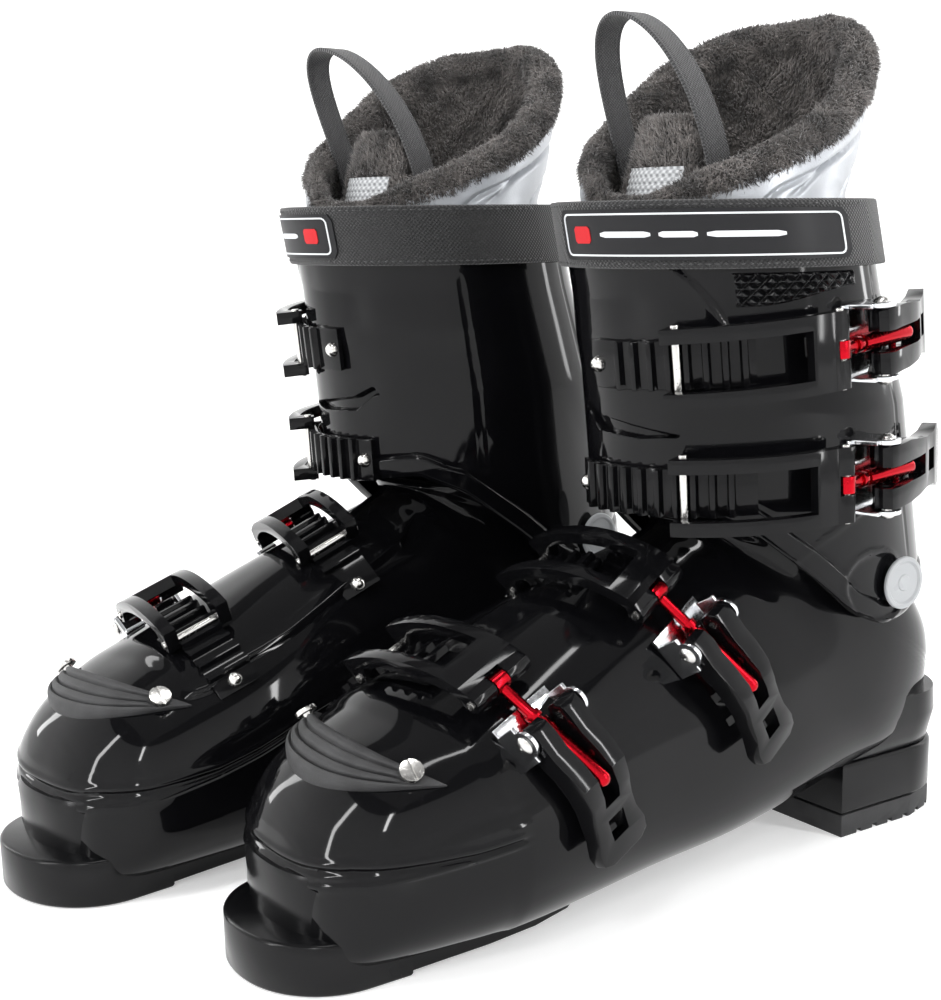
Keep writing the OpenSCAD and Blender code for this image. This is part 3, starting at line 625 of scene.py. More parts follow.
PIVOT = np.array([0.0, 97.0, 106.0])
CUFF_CENTRE = [[90, 82], [142, 69], [173, 64.5], [214, 55], [250, 47]]
CUFF_DEPTH = [[90, 63.5], [142, 66.5], [173, 64], [214, 58], [250, 57]]
CUFF_WIDTH = [[90, 52], [173, 54.5], [220, 53], [250, 52]]
CUFF_BOTTOM = [[0, 136], [35, 140], [52, 132], [70, 114], [85, 97], [97, 90.5], [112, 93],
               [130, 99], [180, 106]]
CUFF_TOP = [[0, 219], [45, 219], [65, 233], [180, 240]]
CUFF_ROUNDNESS = 2.05
UNDER_STRAP = 8.0            # of the front edge that is tucked under the strap
CUFF_WALL = 4.5
MM_PER_DEGREE = 0.95         # round the cuff and the strap, nearly


def folded(angle):
    angle = np.mod(angle, 360)
    return np.where(angle > 180, 360 - angle, angle)


def rounded_lookup(value, table, blur):
    """A table's polyline with its corners rounded over a few units."""
    grid = np.linspace(-60, 240, 1201)
    heights = lookup(np.abs(np.where(grid > 180, 360 - grid, grid)), table)
    kernel = ridge(np.arange(-80, 81) * 0.25, blur)
    return np.interp(value, grid, np.convolve(heights, kernel / kernel.sum(), mode="same"))


def cuff_surface(angle, z, lift):
    e = 2 / CUFF_ROUNDNESS
    angle, z, lift = np.broadcast_arrays(*(np.asarray(v, float) for v in (angle, z, lift)))
    a = np.radians(angle)
    x = (lookup(z, CUFF_WIDTH) + lift) * signed_power(np.sin(a), e)
    y = lookup(z, CUFF_CENTRE) - (lookup(z, CUFF_DEPTH) + lift) * signed_power(np.cos(a), e)
    return np.stack([x, y, z], -1)


COLLAR_EDGE = np.array([[22, 228], [34, 224], [41, 218], [46, 211], [50.5, 203], [53, 192], [54, 180]], float)
SLOT_UPPER = [[-21, 173.5], [-19, 176], [-9, 171.8], [13, 168.9], [29, 166.6]]
SLOT_LOWER = [[-21, 172.5], [-18, 172], [-9, 165.8], [13, 164.6], [29, 165.6]]
RIDGE_LINE = [[60, 117], [69, 123.2], [87, 133.3], [94, 136.1], [110, 138], [140, 139]]


def cuff_relief(angle, z, bottom, slope, top):
    """How far the moulded details of the cuff stand out of its plain wall, in mm."""
    signed = (np.mod(angle + 180, 360)) - 180
    above = (z - bottom) / np.sqrt(1 + slope ** 2)
    relief = 0.9 * (ease(above, 0.3, 1.6) - ease(above, 7.2, 8.4)) - 0.5 * ridge(above - 8.6, 0.7)
    edge_angle = np.interp(z, COLLAR_EDGE[::-1, 1], COLLAR_EDGE[::-1, 0])
    flap = ease(edge_angle - signed, -1.0, 1.0) * ease(signed, -80, -60) * ease(z, 186, 200)
    relief = relief + 0.9 * flap + 0.5 * flap * ridge(edge_angle - signed - 2.2, 1.8)
    upper = lookup(signed, SLOT_UPPER)
    lower = lookup(signed, SLOT_LOWER)
    inside = ease(z - lower, 0, 0.9) * ease(upper - z, 0, 0.9) * (signed > -21) * (signed < 29)
    relief = relief - 3.4 * inside
    line = ridge(z - lookup(signed, RIDGE_LINE), 0.9) * ease(signed, 60, 66) * (1 - ease(signed, 128, 138))
    relief = relief + 0.8 * line
    for panel in (-62, -86, 118, 142, -118, -142):
        reach = ease(z, bottom + 14, bottom + 24) * (1 - ease(z, top - 16, top - 8))
        relief = relief - 0.55 * ridge((signed - panel), 0.55) * reach
    around_pivot = np.hypot((signed - 96) * 0.92, z - PIVOT[2])
    relief = relief - 0.7 * ease(around_pivot, 13.2, 12.4) + 0.5 * ridge(around_pivot - 13.8, 0.9)
    return relief


def make_cuff(side):
    around = stretches((-30, 150), (54, 130), (180, 110), 330)[:-1]
    angle = around[None, :]
    bottom = rounded_lookup(folded(angle), CUFF_BOTTOM, 3.0)
    top = rounded_lookup(folded(angle), CUFF_TOP, 3.0) + UNDER_STRAP * (1 - ease(folded(angle), 40, 60))
    rise = np.interp(angle + 1, around, bottom[0]) - np.interp(angle - 1, around, bottom[0])
    slope = rise / (2 * MM_PER_DEGREE)
    share = stretches((0, 22), (0.12, 18), (0.28, 62), (0.5, 40), 1)[:, None]
    z = bottom + (top - bottom) * share
    angles = np.broadcast_to(angle, z.shape)
    lift = cuff_relief(angles, z, bottom, slope, top)
    rows = [cuff_surface(angles, z, lift)]
    for height, depth in ((0.5, -0.5), (0.8, -1.6), (0.8, -2.9), (0.4, -4.0)):
        rows.append(cuff_surface(angle, top + height, depth))
    inner_share = np.linspace(1, 0, 30)[:, None]
    rows.append(cuff_surface(angles[:30], bottom + (top - bottom) * inner_share, -CUFF_WALL))
    for depth in (-3.9, -2.8, -1.6, -0.6):
        rows.append(cuff_surface(angle, bottom - 0.4, depth))
    add_piece(side, "cuff_moulding", band(np.concatenate(rows)), "cuff", "cuff", ["cuff"], 55)


GRIP_LOW, GRIP_HIGH = 211.0, 222.5
GRIP_PITCH = 5.2


def make_knurl(side):
    """Grip band of small diamonds on the outer side, under the strap."""
    low, high = GRIP_LOW, GRIP_HIGH
    angle = np.linspace(53, 104, 250)[:, None]
    low = low + 6.5 * ease(angle, 58, 106)
    z = low + (high - low) * np.linspace(0, 1, 61)[None, :]
    arc = angle * 0.93
    u, v = (arc + z * 1.15) / GRIP_PITCH, (arc - z * 1.15) / GRIP_PITCH
    studs = np.minimum(np.abs(np.sin(math.pi * u)), np.abs(np.sin(math.pi * v)))
    edge = ease(z, low, low + 0.8) * (1 - ease(z, high - 0.8, high)) * ease(angle, 53, 55) \
        * (1 - ease(angle, 102, 104))
    upper = cuff_surface(angle, z, (0.1 + 0.2 * edge + 1.3 * studs * edge))
    lower = cuff_surface(angle, z, -0.6 + 0 * studs)
    add_piece(side, "cuff_grip_band", slab(upper, lower), "buckle", "cuff", (), 50)


def make_pivots(side):
    """Discs turned round the hinge axis: the profile is [distance along the axis, radius]."""
    profile = [[39.5, 5.6], [39.9, 6.0], [53.0, 6.0], [53.0, 9.6], [53.4, 10.0], [54.2, 10.0], [54.6, 9.6],
               [54.7, 8.4], [54.2, 7.9], [53.9, 7.6], [54.0, 3.2], [54.4, 2.8], [54.5, 1.0]]
    turn = np.linspace(0, 2 * math.pi, 64, endpoint=False)
    rings = np.array([[[h, r * math.cos(t), r * math.sin(t)] for t in turn] for h, r in profile])
    solid = merged([tube(rings * np.array([sign, 1, 1]) + PIVOT) for sign in (1, -1)])
    add_piece(side, "ankle_discs", solid, "disc", "shell", ["cuff_pivots"], 30)


# ---- liner ----

SHELL_TO_LINER = 5.8
LINER_WALL = 8.0
LINER_FLOOR = 2.7
LINER_BOTTOM = [[0, 152], [60, 142], [120, 137], [180, 137]]
LINER_TOP = [[0, 247], [12, 250], [26, 258], [50, 268], [65, 275], [80, 286], [95, 297], [110, 304],
             [130, 311], [180, 314]]
LINER_TOP_LOW = [[0, 247], [22, 247], [36, 251], [50, 256], [65, 260], [80, 266], [95, 272], [110, 280],
                 [130, 292], [155, 307], [180, 314]]
SHAFT_EXTRA = [[130, 0], [215, 0], [245, -1], [300, -3], [320, -4]]
SHAFT_LEAN = [[248, 0], [262, 7], [285, 14], [320, 18]]
SHAFT_LIFT = -CUFF_WALL - 1.4


def shaft_surface(angle, z, lift):
    angle, z, lift = np.broadcast_arrays(*(np.asarray(v, float) for v in (angle, z, lift)))
    points = cuff_surface(angle, z, lift + lookup(z, SHAFT_EXTRA))
    points[..., 1] += lookup(z, SHAFT_LEAN) * (1 - cos_deg(angle)) / 2
    return points


LOW_SIDE = {"left": 1, "right": -1}     # 1 where the liner's rim is low on the boot's outer side


def liner_top(side, angle):
    angle = np.mod(angle, 360)
    low = (angle <= 180) == (LOW_SIDE[side] > 0)
    heights = (rounded_lookup(folded(angle), table, 5.0) for table in (LINER_TOP_LOW, LINER_TOP))
    return np.where(low, *heights)


ROLL_RADIUS = 5.0


def roll_radius(angle):
    """The roll thins out towards the open front."""
    return ROLL_RADIUS * (0.55 + 0.45 * ease(folded(angle), 14, 60)) + 0.8 * ease(folded(angle), 70, 130)


def roll_centre(side, angle):
    """Middle of the fur roll along the liner's rim."""
    return shaft_surface(angle, liner_top(side, angle) - roll_radius(angle) + 0.6, SHAFT_LIFT - 4.0)


def roll_rings(side, angle, radius, turn):
    """Points round the fur roll at each angle; turn 0 is outwards and 90 is up, in degrees."""
    centre = roll_centre(side, angle)
    tangent = unit(roll_centre(side, angle + 1.0) - roll_centre(side, angle - 1.0))
    _, out = surface_normals(shaft_surface, angle, liner_top(side, angle) - 4, SHAFT_LIFT, 1)
    out = unit(out - (out * tangent).sum(-1, keepdims=True) * tangent)
    up = np.cross(tangent, out)
    up *= np.sign(up[..., 2:3])
    turn = np.radians(turn)[..., None]
    direction = out * np.cos(turn) + up * np.sin(turn)
    return centre + direction * radius, direction


def make_liner_foot(side):
    angle = full_turn(72)
    end = FOOT_END - 0.9
    outer = [foot_surface(s, angle, SHELL_TO_LINER, LINER_FLOOR) for s in np.linspace(1.6, end, 44)]
    rim = [foot_surface(end, angle, SHELL_TO_LINER + d, LINER_FLOOR) + np.array([0, 0, h])
           for d, h in ((2, 1.2), (4, 1.6), (6, 1.2))]
    inner = [foot_surface(s, angle, SHELL_TO_LINER + LINER_WALL + 0.35 * math.sin(9 * s), LINER_FLOOR)
             for s in np.linspace(end, 2.6, 40)]
    piece = add_piece(side, "liner_bootie", tube(outer + rim + inner), "lining", "shell",
                      ["liner_foot"], 60)


def shaft_relief(side, angle, z):
    """Embossed curved grooves and a soft swell on the outside of the liner."""
    around = np.abs(np.mod(angle + 180, 360) - 180)
    drop = liner_top(side, angle) - z
    lines = 0
    for start, lift, reach in ((84, 247, 0.34), (118, 246, 0.30), (60, 238, 0.36)):
        curve = lift + reach * (around - start) + 5 * ease(around, start, start + 22)
        lines = lines + ridge(z - curve, 1.1) * ease(around, start - 2, start + 6) * (1 - ease(drop, 16, 12))
    back_seam = ridge(around - 180, 0.9)
    swell = 0.7 * sin_deg(around * 4 + z * 2) * ease(drop, 10, 24)
    return swell - 1.5 * lines - 0.8 * back_seam


def make_liner_shaft(side):
    angle = full_turn(240)[None, :]
    bottom = rounded_lookup(folded(angle), LINER_BOTTOM, 4.0)
    top = liner_top(side, angle) - 4
    share = stretches((0, 12), (0.5, 90), 1)[:, None]
    z = bottom + (top - bottom) * share
    relief = shaft_relief(side, np.broadcast_to(angle, z.shape), z) * ease(z, 228, 236)
    outer = shaft_surface(angle, z, SHAFT_LIFT + np.minimum(relief, 0.5))
    rim = [shaft_surface(angle, top + h, SHAFT_LIFT - d) for h, d in ((0.6, 1.6), (1.0, 4), (0.6, 6.4))]
    share = np.linspace(1, 0, 40)[:, None]
    z_in = bottom + (top - bottom) * share
    inner = shaft_surface(angle, z_in, SHAFT_LIFT - LINER_WALL
                          + 0.4 * np.sin(z_in / 4) * sin_deg(angle * 5))
    rings = np.concatenate([outer, np.array(rim).reshape(len(rim), *outer.shape[1:]), inner])
    piece = add_piece(side, "liner_upper", band(rings), "silver", "cuff", ["liner_shaft"], 60)
    piece.data.materials.append(MATERIALS["lining"])
    row = np.arange(len(piece.data.polygons)) // rings.shape[1]
    piece.data.polygons.foreach_set("material_index", (row >= len(outer)).astype(np.int32))
    angle, turn = np.meshgrid(full_turn(200),
                              full_turn(28), indexing="ij")
    lumps = 0.5 * sin_deg(angle * 9) * sin_deg(turn * 2 + angle * 4)
    rings, _ = roll_rings(side, angle, (roll_radius(angle) + lumps)[..., None], turn)
    piece = add_piece(side, "liner_roll", band(rings), "lining", "cuff", (), 60)


TONGUE_LIFT = SHAFT_LIFT - LINER_WALL - 1.2
TONGUE_LEAN = [[212, 0], [245, 8], [276, 16]]
TONGUE_LOW, TONGUE_HIGH = 158.0, 276.0
TONGUE_THICKNESS = 8.0
WEBBING_LOW, WEBBING_HIGH, WEBBING_PITCH = 236, 258.5, 2.4


def tongue_surface(angle, z, lift):
    points = cuff_surface(angle, z, np.asarray(lift, float) + lookup(z, SHAFT_EXTRA))
    points[..., 1] += lookup(points[..., 2], TONGUE_LEAN)
    return points


def tongue_height(share):
    return TONGUE_LOW + (TONGUE_HIGH - 1 - TONGUE_LOW) * share


def tongue_half_width(share):
    round_end = np.sqrt(np.clip(1 - ((share - 0.88) / 0.13) ** 4 * (share > 0.88), 0.05, 1))
    return 40 * (0.8 + 0.2 * np.sin(math.pi * share)) * (1 - 0.3 * share ** 6) * round_end


def make_tongue(side):
    share = stretches((0, 40), (0.9, 18), 1)
    turn = full_turn(64)
    c, s = signed_power(cos_deg(turn), 0.35), signed_power(sin_deg(turn), 0.7)
    rings = []
    for t in share:
        swell = TONGUE_THICKNESS / 2 * math.sqrt(max(0.06, 1 - max(0, (t - 0.9) / 0.105) ** 3))
        lift = TONGUE_LIFT - TONGUE_THICKNESS / 2 + swell * s
        rings.append(tongue_surface(tongue_half_width(t) * c, tongue_height(t), lift))
    piece = add_piece(side, "tongue_pad", tube(rings), "lining", "cuff", ["liner_tongue"], 60)
    angle = np.linspace(-20, 24, 41)[:, None]
    z = np.linspace(WEBBING_LOW, WEBBING_HIGH, 84)[None, :]
    ribs = 0.45 * np.abs(np.sin(math.pi * (z - WEBBING_LOW) / WEBBING_PITCH))
    upper = tongue_surface(angle, z, TONGUE_LIFT + 0.7 + ribs)
    lower = tongue_surface(angle, z, TONGUE_LIFT - 0.8 + 0 * z)
    grid = np.concatenate([upper, lower[:, ::-1]], axis=1)
    uv = np.stack([np.broadcast_to(angle, grid.shape[:2]) * 0.6, grid[..., 2]], -1).reshape(-1, 2)
    add_piece(side, "tongue_webbing", tube(grid), "ribbed", "cuff", (), 50, uv)


# ---- fur ----

def strands(roots, normals, lean, length, radius, rng):
    """Closed, tapering, three sided hairs that grow from roots along normals and bend over."""
    n = len(roots)
    length = length * rng.uniform(0.6, 1.25, n)[:, None]
    stray = rng.normal(0, 0.25, (n, 3))
    first = unit(normals * 0.7 + lean * 0.8 + stray)
    second = unit(normals * 0.15 + lean * 1.6 + stray)
    side_a = unit(np.cross(first, rng.normal(0, 1, (n, 3))))
    side_b = np.cross(first, side_a)
    radii = radius * rng.uniform(0.7, 1.3, n)[:, None]
    base = roots - normals * 0.5
    knee = roots + first * length * 0.5
    tip = knee + second * length * 0.55
    rows = []
    for centre, thickness in ((base, 1.0), (knee, 0.75)):
        for k in range(3):
            turn = 2 * math.pi * k / 3
            rows.append(centre + radii * thickness * (side_a * math.cos(turn) + side_b * math.sin(turn)))
    rows.append(tip)
    points = np.stack(rows, 1).reshape(-1, 3)
    one = [(0, 2, 1)]
    for k in range(3):
        j = (k + 1) % 3
        one += [(k, j, 3 + j), (k, 3 + j, 3 + k), (3 + k, 3 + j, 6)]
    faces = (np.array(one)[None] + 7 * np.arange(n)[:, None, None]).reshape(-1, 3)
    return points, faces


def add_fur(side, name, parts):
    """Join strands into one piece on the cuff, straight from their arrays, which is quick."""
    points = np.concatenate([p for p, _ in parts])
    starts = np.cumsum([0] + [len(p) for p, _ in parts[:-1]])
    faces = np.concatenate([f + start for (_, f), start in zip(parts, starts)])
    mesh = bpy.data.meshes.new(f"{side}_{name}")
    if side == "right":
        faces = faces[:, ::-1]
    mesh.vertices.add(len(points))
    mesh.vertices.foreach_set("co", placed(side, points).ravel())
    mesh.loops.add(faces.size)
    mesh.loops.foreach_set("vertex_index", faces.ravel().astype(np.int32))
    mesh.polygons.add(len(faces))
    mesh.polygons.foreach_set("loop_start", np.arange(0, faces.size, 3, dtype=np.int32))
    mesh.update(calc_edges=True)
    mesh.shade_smooth()
    hang(side, name, mesh, "fur", "cuff")


LEG_CENTRE_Y = 55


def surface_normals(function, angle, z, lift, outward):
    """Normals of shaft-like surfaces by small differences; outward is 1 or -1."""
    here = function(angle, z, lift)
    d_angle = function(angle + 0.5, z, lift) - here
    d_z = function(angle, z + 0.5, lift) - here
    normal = unit(np.cross(d_angle, d_z))
    centre = here.copy()
    centre[..., :2] = 0, LEG_CENTRE_Y
    sign = np.sign(((here - centre) * normal).sum(-1, keepdims=True))
    return here, normal * sign * outward


ROLL_HAIRS, LINING_HAIRS = 34000, 22000
LINING_DEPTH = 48            # how far down the inside the hairs go


def make_collar_fur(side, seed):
    rng = np.random.default_rng(seed)
    thin = 1.0
    count = int(ROLL_HAIRS * thin)
    angle = rng.uniform(0, 360, count)
    turn = rng.uniform(-75, 255, count)
    roots, normal = roll_rings(side, angle, roll_radius(angle)[:, None] - 0.2, turn)
    clump = sin_deg(angle * 23) * sin_deg(turn * 5 + angle * 11)
    lean = np.stack([0.35 * clump, 0.25 * cos_deg(angle * 17), -0.25 + 0.2 * clump], -1)
    roll_part = strands(roots, normal, lean, 3.0, 0.24, rng)
    count = int(LINING_HAIRS * thin)
    angle = rng.uniform(0, 360, count)
    drop = 8 + rng.uniform(0, 1, count) ** 1.2 * LINING_DEPTH
    inner, normal = surface_normals(shaft_surface, angle, liner_top(side, angle) - drop,
                                    SHAFT_LIFT - LINER_WALL, -1)
    clump = sin_deg(angle * 19) * np.cos(drop * 0.5)
    lean = np.stack([0.5 * clump, 0.4 * np.cos(np.radians(angle * 13) + drop * 0.3), -0.8 + 0.3 * clump], -1)
    inner_part = strands(inner, normal, lean, 3.0, 0.3, rng)
    add_fur(side, "collar_fur", [inner_part, roll_part])


TONGUE_HAIRS = ((1, 4200), (-1, 3600))       # on its front (1) and on its back (-1)
TIP_HAIRS = 1500


def make_tongue_fur(side, seed):
    rng = np.random.default_rng(seed)
    parts = []
    for outward, count in TONGUE_HAIRS:
        count = count
        share = rng.uniform(0.66, 1.0, count)
        angle = rng.uniform(-1, 1, count) * tongue_half_width(share)
        z = tongue_height(share)
        bare = (z <= 258) & (np.abs(angle - 2) <= 22) & (outward > 0)    # where the webbing lies
        keep = ~bare
        angle, z = angle[keep], z[keep]
        lift = TONGUE_LIFT - (0.8 if outward > 0 else TONGUE_THICKNESS - 0.8) + 0 * z
        roots, normal = surface_normals(tongue_surface, angle, z, lift, outward)
        parts.append(strands(roots, normal, np.array([0, 0, 0.35]), 3.6, 0.3, rng))
    count = TIP_HAIRS
    angle = rng.uniform(-1, 1, count) * 20
    lift = TONGUE_LIFT - rng.uniform(1, TONGUE_THICKNESS - 1, count)
    roots = tongue_surface(angle, np.full(count, TONGUE_HIGH - 2.5), lift)
    parts.append(strands(roots, np.tile([0, 0, 1.0], (count, 1)), np.array([0, -0.2, 0.2]), 3.2, 0.3, rng))
    add_fur(side, "tongue_fur", parts)


# ---- strap and loop ----

STRAP_LOW, STRAP_HIGH = 224.0, 247.0
STRAP_MIDDLE = 235.0          # height at which lengths along the strap are measured
STRAP_CENTRE_Y = 50
STRAP_GROW = [[0, 0.8], [70, 1.2], [180, 2.5]]


def strap_surface(angle, z, lift):
    return cuff_surface(angle, z, lookup(folded(angle), STRAP_GROW) + lift)


def strap_uv(angle, z):
    """Weave map of a strap whose rows of heights are z: mm along it and mm up it."""
    along = running_length(strap_surface(angle, STRAP_MIDDLE, 1.5))
    return np.stack([np.repeat(along, z.shape[1]), z.ravel()], -1)


def strap_profile(low, high, inner, outer):
    """Cross section of a woven strap with rounded edges: z and lift."""
    z = np.concatenate([np.linspace(low + 0.6, high - 0.6, 30), [high - 0.2, high, high - 0.2],
                        np.linspace(high - 0.6, low + 0.6, 12), [low + 0.2, low, low + 0.2]])
    thick = outer - inner
    edge = [outer - 0.15 * thick, (inner + outer) / 2, inner + 0.15 * thick]
    return z, np.concatenate([np.full(30, outer), edge, np.full(12, inner), edge[::-1]])


def make_strap(side):
    angle = np.linspace(0, 360, 181)[:-1]
    z, lift = strap_profile(STRAP_LOW, STRAP_HIGH, 0.1, 1.5)
    z_rows = np.broadcast_to(z, (len(angle), len(z)))
    add_piece(side, "strap_webbing", band(strap_surface(angle[:, None], z_rows, lift)), "strap", "cuff",
              ["power_strap"], 60, strap_uv(angle, z_rows))
    angle = np.linspace(-100, 112, 160)
    low, high = STRAP_LOW + 0.2, STRAP_HIGH - 0.2
    z, lift = strap_profile(low, high, 1.6, 3.0)
    share = np.abs((angle - 6) / 106)
    narrow = (1 - np.sqrt(np.clip(1 - ((share - 0.965) / 0.035).clip(0, 1) ** 2, 0.02, 1)))[:, None] * 5
    middle = (low + high) / 2
    z_rows = middle + (z[None] - middle) * (1 - narrow / (high - low) * 2)
    add_piece(side, "strap_overlap", tube(strap_surface(angle[:, None], z_rows, lift)), "strap", "cuff",
              (), 60, strap_uv(angle, z_rows))
    make_stitches(side, (low + 1.5, high - 1.5))


STITCH_SPACING = 2.9
STITCH_LIFT = 3.05


def make_stitches(side, heights):
    """Rows of thread stitches along the strap's overlap, each a small spindle lying on it."""
    parts = []
    for z in heights:
        path = strap_surface(np.linspace(-98, 110, 600), z, STITCH_LIFT)
        length = running_length(path)
        for k in range(int(length[-1] / STITCH_SPACING)):
            begin, end = (k + 0.12) * STITCH_SPACING, (k + 0.82) * STITCH_SPACING
            a, b, c = (np.array([np.interp(s, length, path[:, i]) for i in range(3)])
                       for s in (begin, (begin + end) / 2, end))
            out = b - np.array([0, STRAP_CENTRE_Y, b[2]])
            out /= np.linalg.norm(out)
            up = np.array([0, 0, 1.0])
            points = [a, c, b + out * 0.32, b + up * 0.3, b - out * 0.2, b - up * 0.3]
            faces = [(0, 2, 3), (0, 3, 4), (0, 4, 5), (0, 5, 2), (1, 3, 2), (1, 4, 3), (1, 5, 4), (1, 2, 5)]
            parts.append((points, faces))
    solid = merged(parts)
    add_piece(side, "strap_stitches", solid, "hook", "cuff", (), 180, np.zeros((len(solid[0]), 2)))


def patch_band(corners, lift_low, lift_high, count=60, radius=2.5):
    """A closed pad on the strap with rounded corners: corners is [angle0, angle1, z0, z1]."""
    a0, a1, z0, z1 = corners
    angle = np.linspace(a0, a1, count)
    from_end = np.minimum(angle - a0, a1 - angle) * MM_PER_DEGREE
    cut = radius - np.sqrt(np.clip(radius ** 2 - np.clip(radius - from_end, 0, radius) ** 2, 0, None))
    low, high = z0 + cut, z1 - cut
    share = np.linspace(0, 1, 9)
    z = low[:, None] + (high - low)[:, None] * share
    return slab(*(strap_surface(angle[:, None], z, lift) for lift in (lift_high, lift_low)))


def patch_line(corners, lift, width, radius=2.2, count=200):
    """A thin raised line that runs round a rounded rectangle on the strap."""
    a0, a1, z0, z1 = corners
    half_u, half_v = (a1 - a0) / 2 * MM_PER_DEGREE, (z1 - z0) / 2
    path = []
    for start, right, top in ((0, 1, 1), (90, -1, 1), (180, -1, -1), (270, 1, -1)):
        for t in np.radians(np.linspace(start, start + 90, 9)):
            c, s = math.cos(t), math.sin(t)
            path.append([right * (half_u - radius) + radius * c, top * (half_v - radius) + radius * s, c, s])
    closed = np.array(path + path[:1])
    length = running_length(closed[:, :2])
    at = np.linspace(0, length[-1], count, endpoint=False)
    u, v, nu, nv = (np.interp(at, length, closed[:, i]) for i in range(4))
    rows = []
    for share, height in ((-0.5, lift - 0.3), (-0.5, lift), (0.5, lift), (0.5, lift - 0.3)):
        angle = (a0 + a1) / 2 + (u + nu * share * width) / MM_PER_DEGREE
        rows.append(strap_surface(angle, (z0 + z1) / 2 + v + nv * share * width, height))
    return band(np.stack(rows, 1))


def make_patch(side):
    low, high = STRAP_LOW + 3, STRAP_HIGH - 3
    add_piece(side, "strap_patch_base", patch_band([-14, 98, low, high], 2.9, 3.75), "patch", "cuff",
              ["strap_patch"], 40)
    parts = [patch_line([-11, 95, low + 1.6, high - 1.6], 4.0, 0.6)]
    parts += [patch_band([a, a + w, low + 7.6, low + 9.6], 3.7, 4.0, 10, 0.5)
              for a, w in ((8, 20), (31, 13), (47, 26))]
    add_piece(side, "strap_patch_lines", merged(parts), "ink", "cuff", (), 40)
    add_piece(side, "strap_patch_block", patch_band([-5, 3, low + 5.6, low + 11.4], 3.7, 4.0, 10, 1.0),
              "accent", "cuff", (), 40)


LOOP_BASE = np.array([0, 31, 249.0])
LOOP_RISE, LOOP_HALF_SPREAD, LOOP_HALF_WIDTH = 66, 24, 5.5
LOOP_LEAN = {"left": -14, "right": 22}


def make_loop(side, outward):
    turn = np.linspace(0, math.pi, 90)
    rise = LOOP_RISE - 0.25 * abs(outward)
    height = rise * np.sin(turn).clip(0) ** 0.8
    lean = outward * np.sin(turn).clip(0) ** 1.5
    path = np.stack([LOOP_HALF_SPREAD * np.cos(turn) * (1 + 0.2 * np.sin(turn)) + lean, 0 * turn, height], -1)
    tangent = np.gradient(path, axis=0)
    normal = unit(np.stack([tangent[:, 2], 0 * turn, -tangent[:, 0]], -1))
    centre = LOOP_BASE + path - np.stack([0 * turn, 0.22 * path[:, 2], 0 * turn], -1)
    half = LOOP_HALF_WIDTH
    across = np.concatenate([np.linspace(-half + 0.5, half - 0.5, 20), [half - 0.1, half, half - 0.1]])
    thick = np.concatenate([np.full(20, 0.8), [0.6, 0.0, -0.6]])
    across = np.concatenate([across, -across])
    thick = np.concatenate([thick, -thick])
    thick = thick - np.sign(thick) * 0.22 * ridge(np.abs(across) - 4.2, 0.4)
    rings = centre[:, None] + normal[:, None] * thick[None, :, None]
    rings[..., 1] += across[None]
    uv = np.stack([np.repeat(running_length(centre), len(across)), np.tile(across, len(centre))], -1)
    add_piece(side, "pull_loop_webbing", tube(rings), "loop", "cuff", ["pull_loop"], 60, uv)


# ---- parts refined from the CAD solids ----

PIN_SHARE = 0.4               # a loose part with less than this share of the largest one's area is a pin


FLAT_ANGLE = 1.5              # degrees between faces that are merged into one
EDGE_ANGLE = 28               # and between faces whose edge is rounded
CREASE_ANGLE = 32             # and between faces that are shaded apart


def refined(side, node, look, material, body, width, pins=False):
    """Copy a CAD solid, merge its flat faces and round its edges by width in mm."""
    mesh = frame["nodes"][f"{side}_{node}"].data.copy()
    mesh.name = f"{side}_{look}"
    work = bmesh.new()
    work.from_mesh(mesh)
    bmesh.ops.remove_doubles(work, verts=work.verts, dist=1e-6)
    bmesh.ops.dissolve_limit(work, angle_limit=math.radians(FLAT_ANGLE), verts=work.verts, edges=work.edges)
    sharp = [e for e in work.edges
             if len(e.link_faces) == 2 and e.calc_face_angle(0) > math.radians(EDGE_ANGLE)]
    if width > 0:
        bmesh.ops.bevel(work, geom=sharp, offset=width * MM, segments=2, profile=0.6, affect="EDGES",
                        clamp_overlap=True)
    bmesh.ops.recalc_face_normals(work, faces=work.faces)
    work.to_mesh(mesh)
    work.free()
    mesh.materials.clear()
    mesh.shade_smooth()
    mesh.set_sharp_from_angle(angle=math.radians(CREASE_ANGLE))
    hang(side, look, mesh, material, body, [node])
    if pins:
        mesh.materials.append(MATERIALS["steel"])
        paint_pins(mesh)


def paint_pins(mesh):
    """Put the second material on the pins among a mesh's loose parts."""
    work = bmesh.new()
    work.from_mesh(mesh)
    work.faces.ensure_lookup_table()
    left = set(work.faces)
    groups = []
    while left:
        group = [left.pop()]
        for face in group:    # the group grows while it is walked
            found = {other for edge in face.edges for other in edge.link_faces} & left
            left -= found
            group.extend(found)
        groups.append(group)
    areas = [sum(face.calc_area() for face in group) for group in groups]
    for group, area in zip(groups, areas):
        for face in group:
            face.material_index = 1 if area < PIN_SHARE * max(areas) else 0
    work.to_mesh(mesh)
    work.free()


# For each part: its node, its look's name, material, slot and the width of its rounded edges in mm
FIXED_PARTS = (("ladders", "ladders", "buckle", "ladder", 0.22),
               ("buckle_bases", "brackets", "chrome", "bracket", 0.25),
               ("fasteners", "fasteners", "steel", "fastener", 0.12))
# The same for the moving parts, whose node, look and slot have one name
MOVING_PARTS = (("lever", "buckle", 0.5), ("rod", "rod", 0.15), ("frame", "buckle", 0.5))


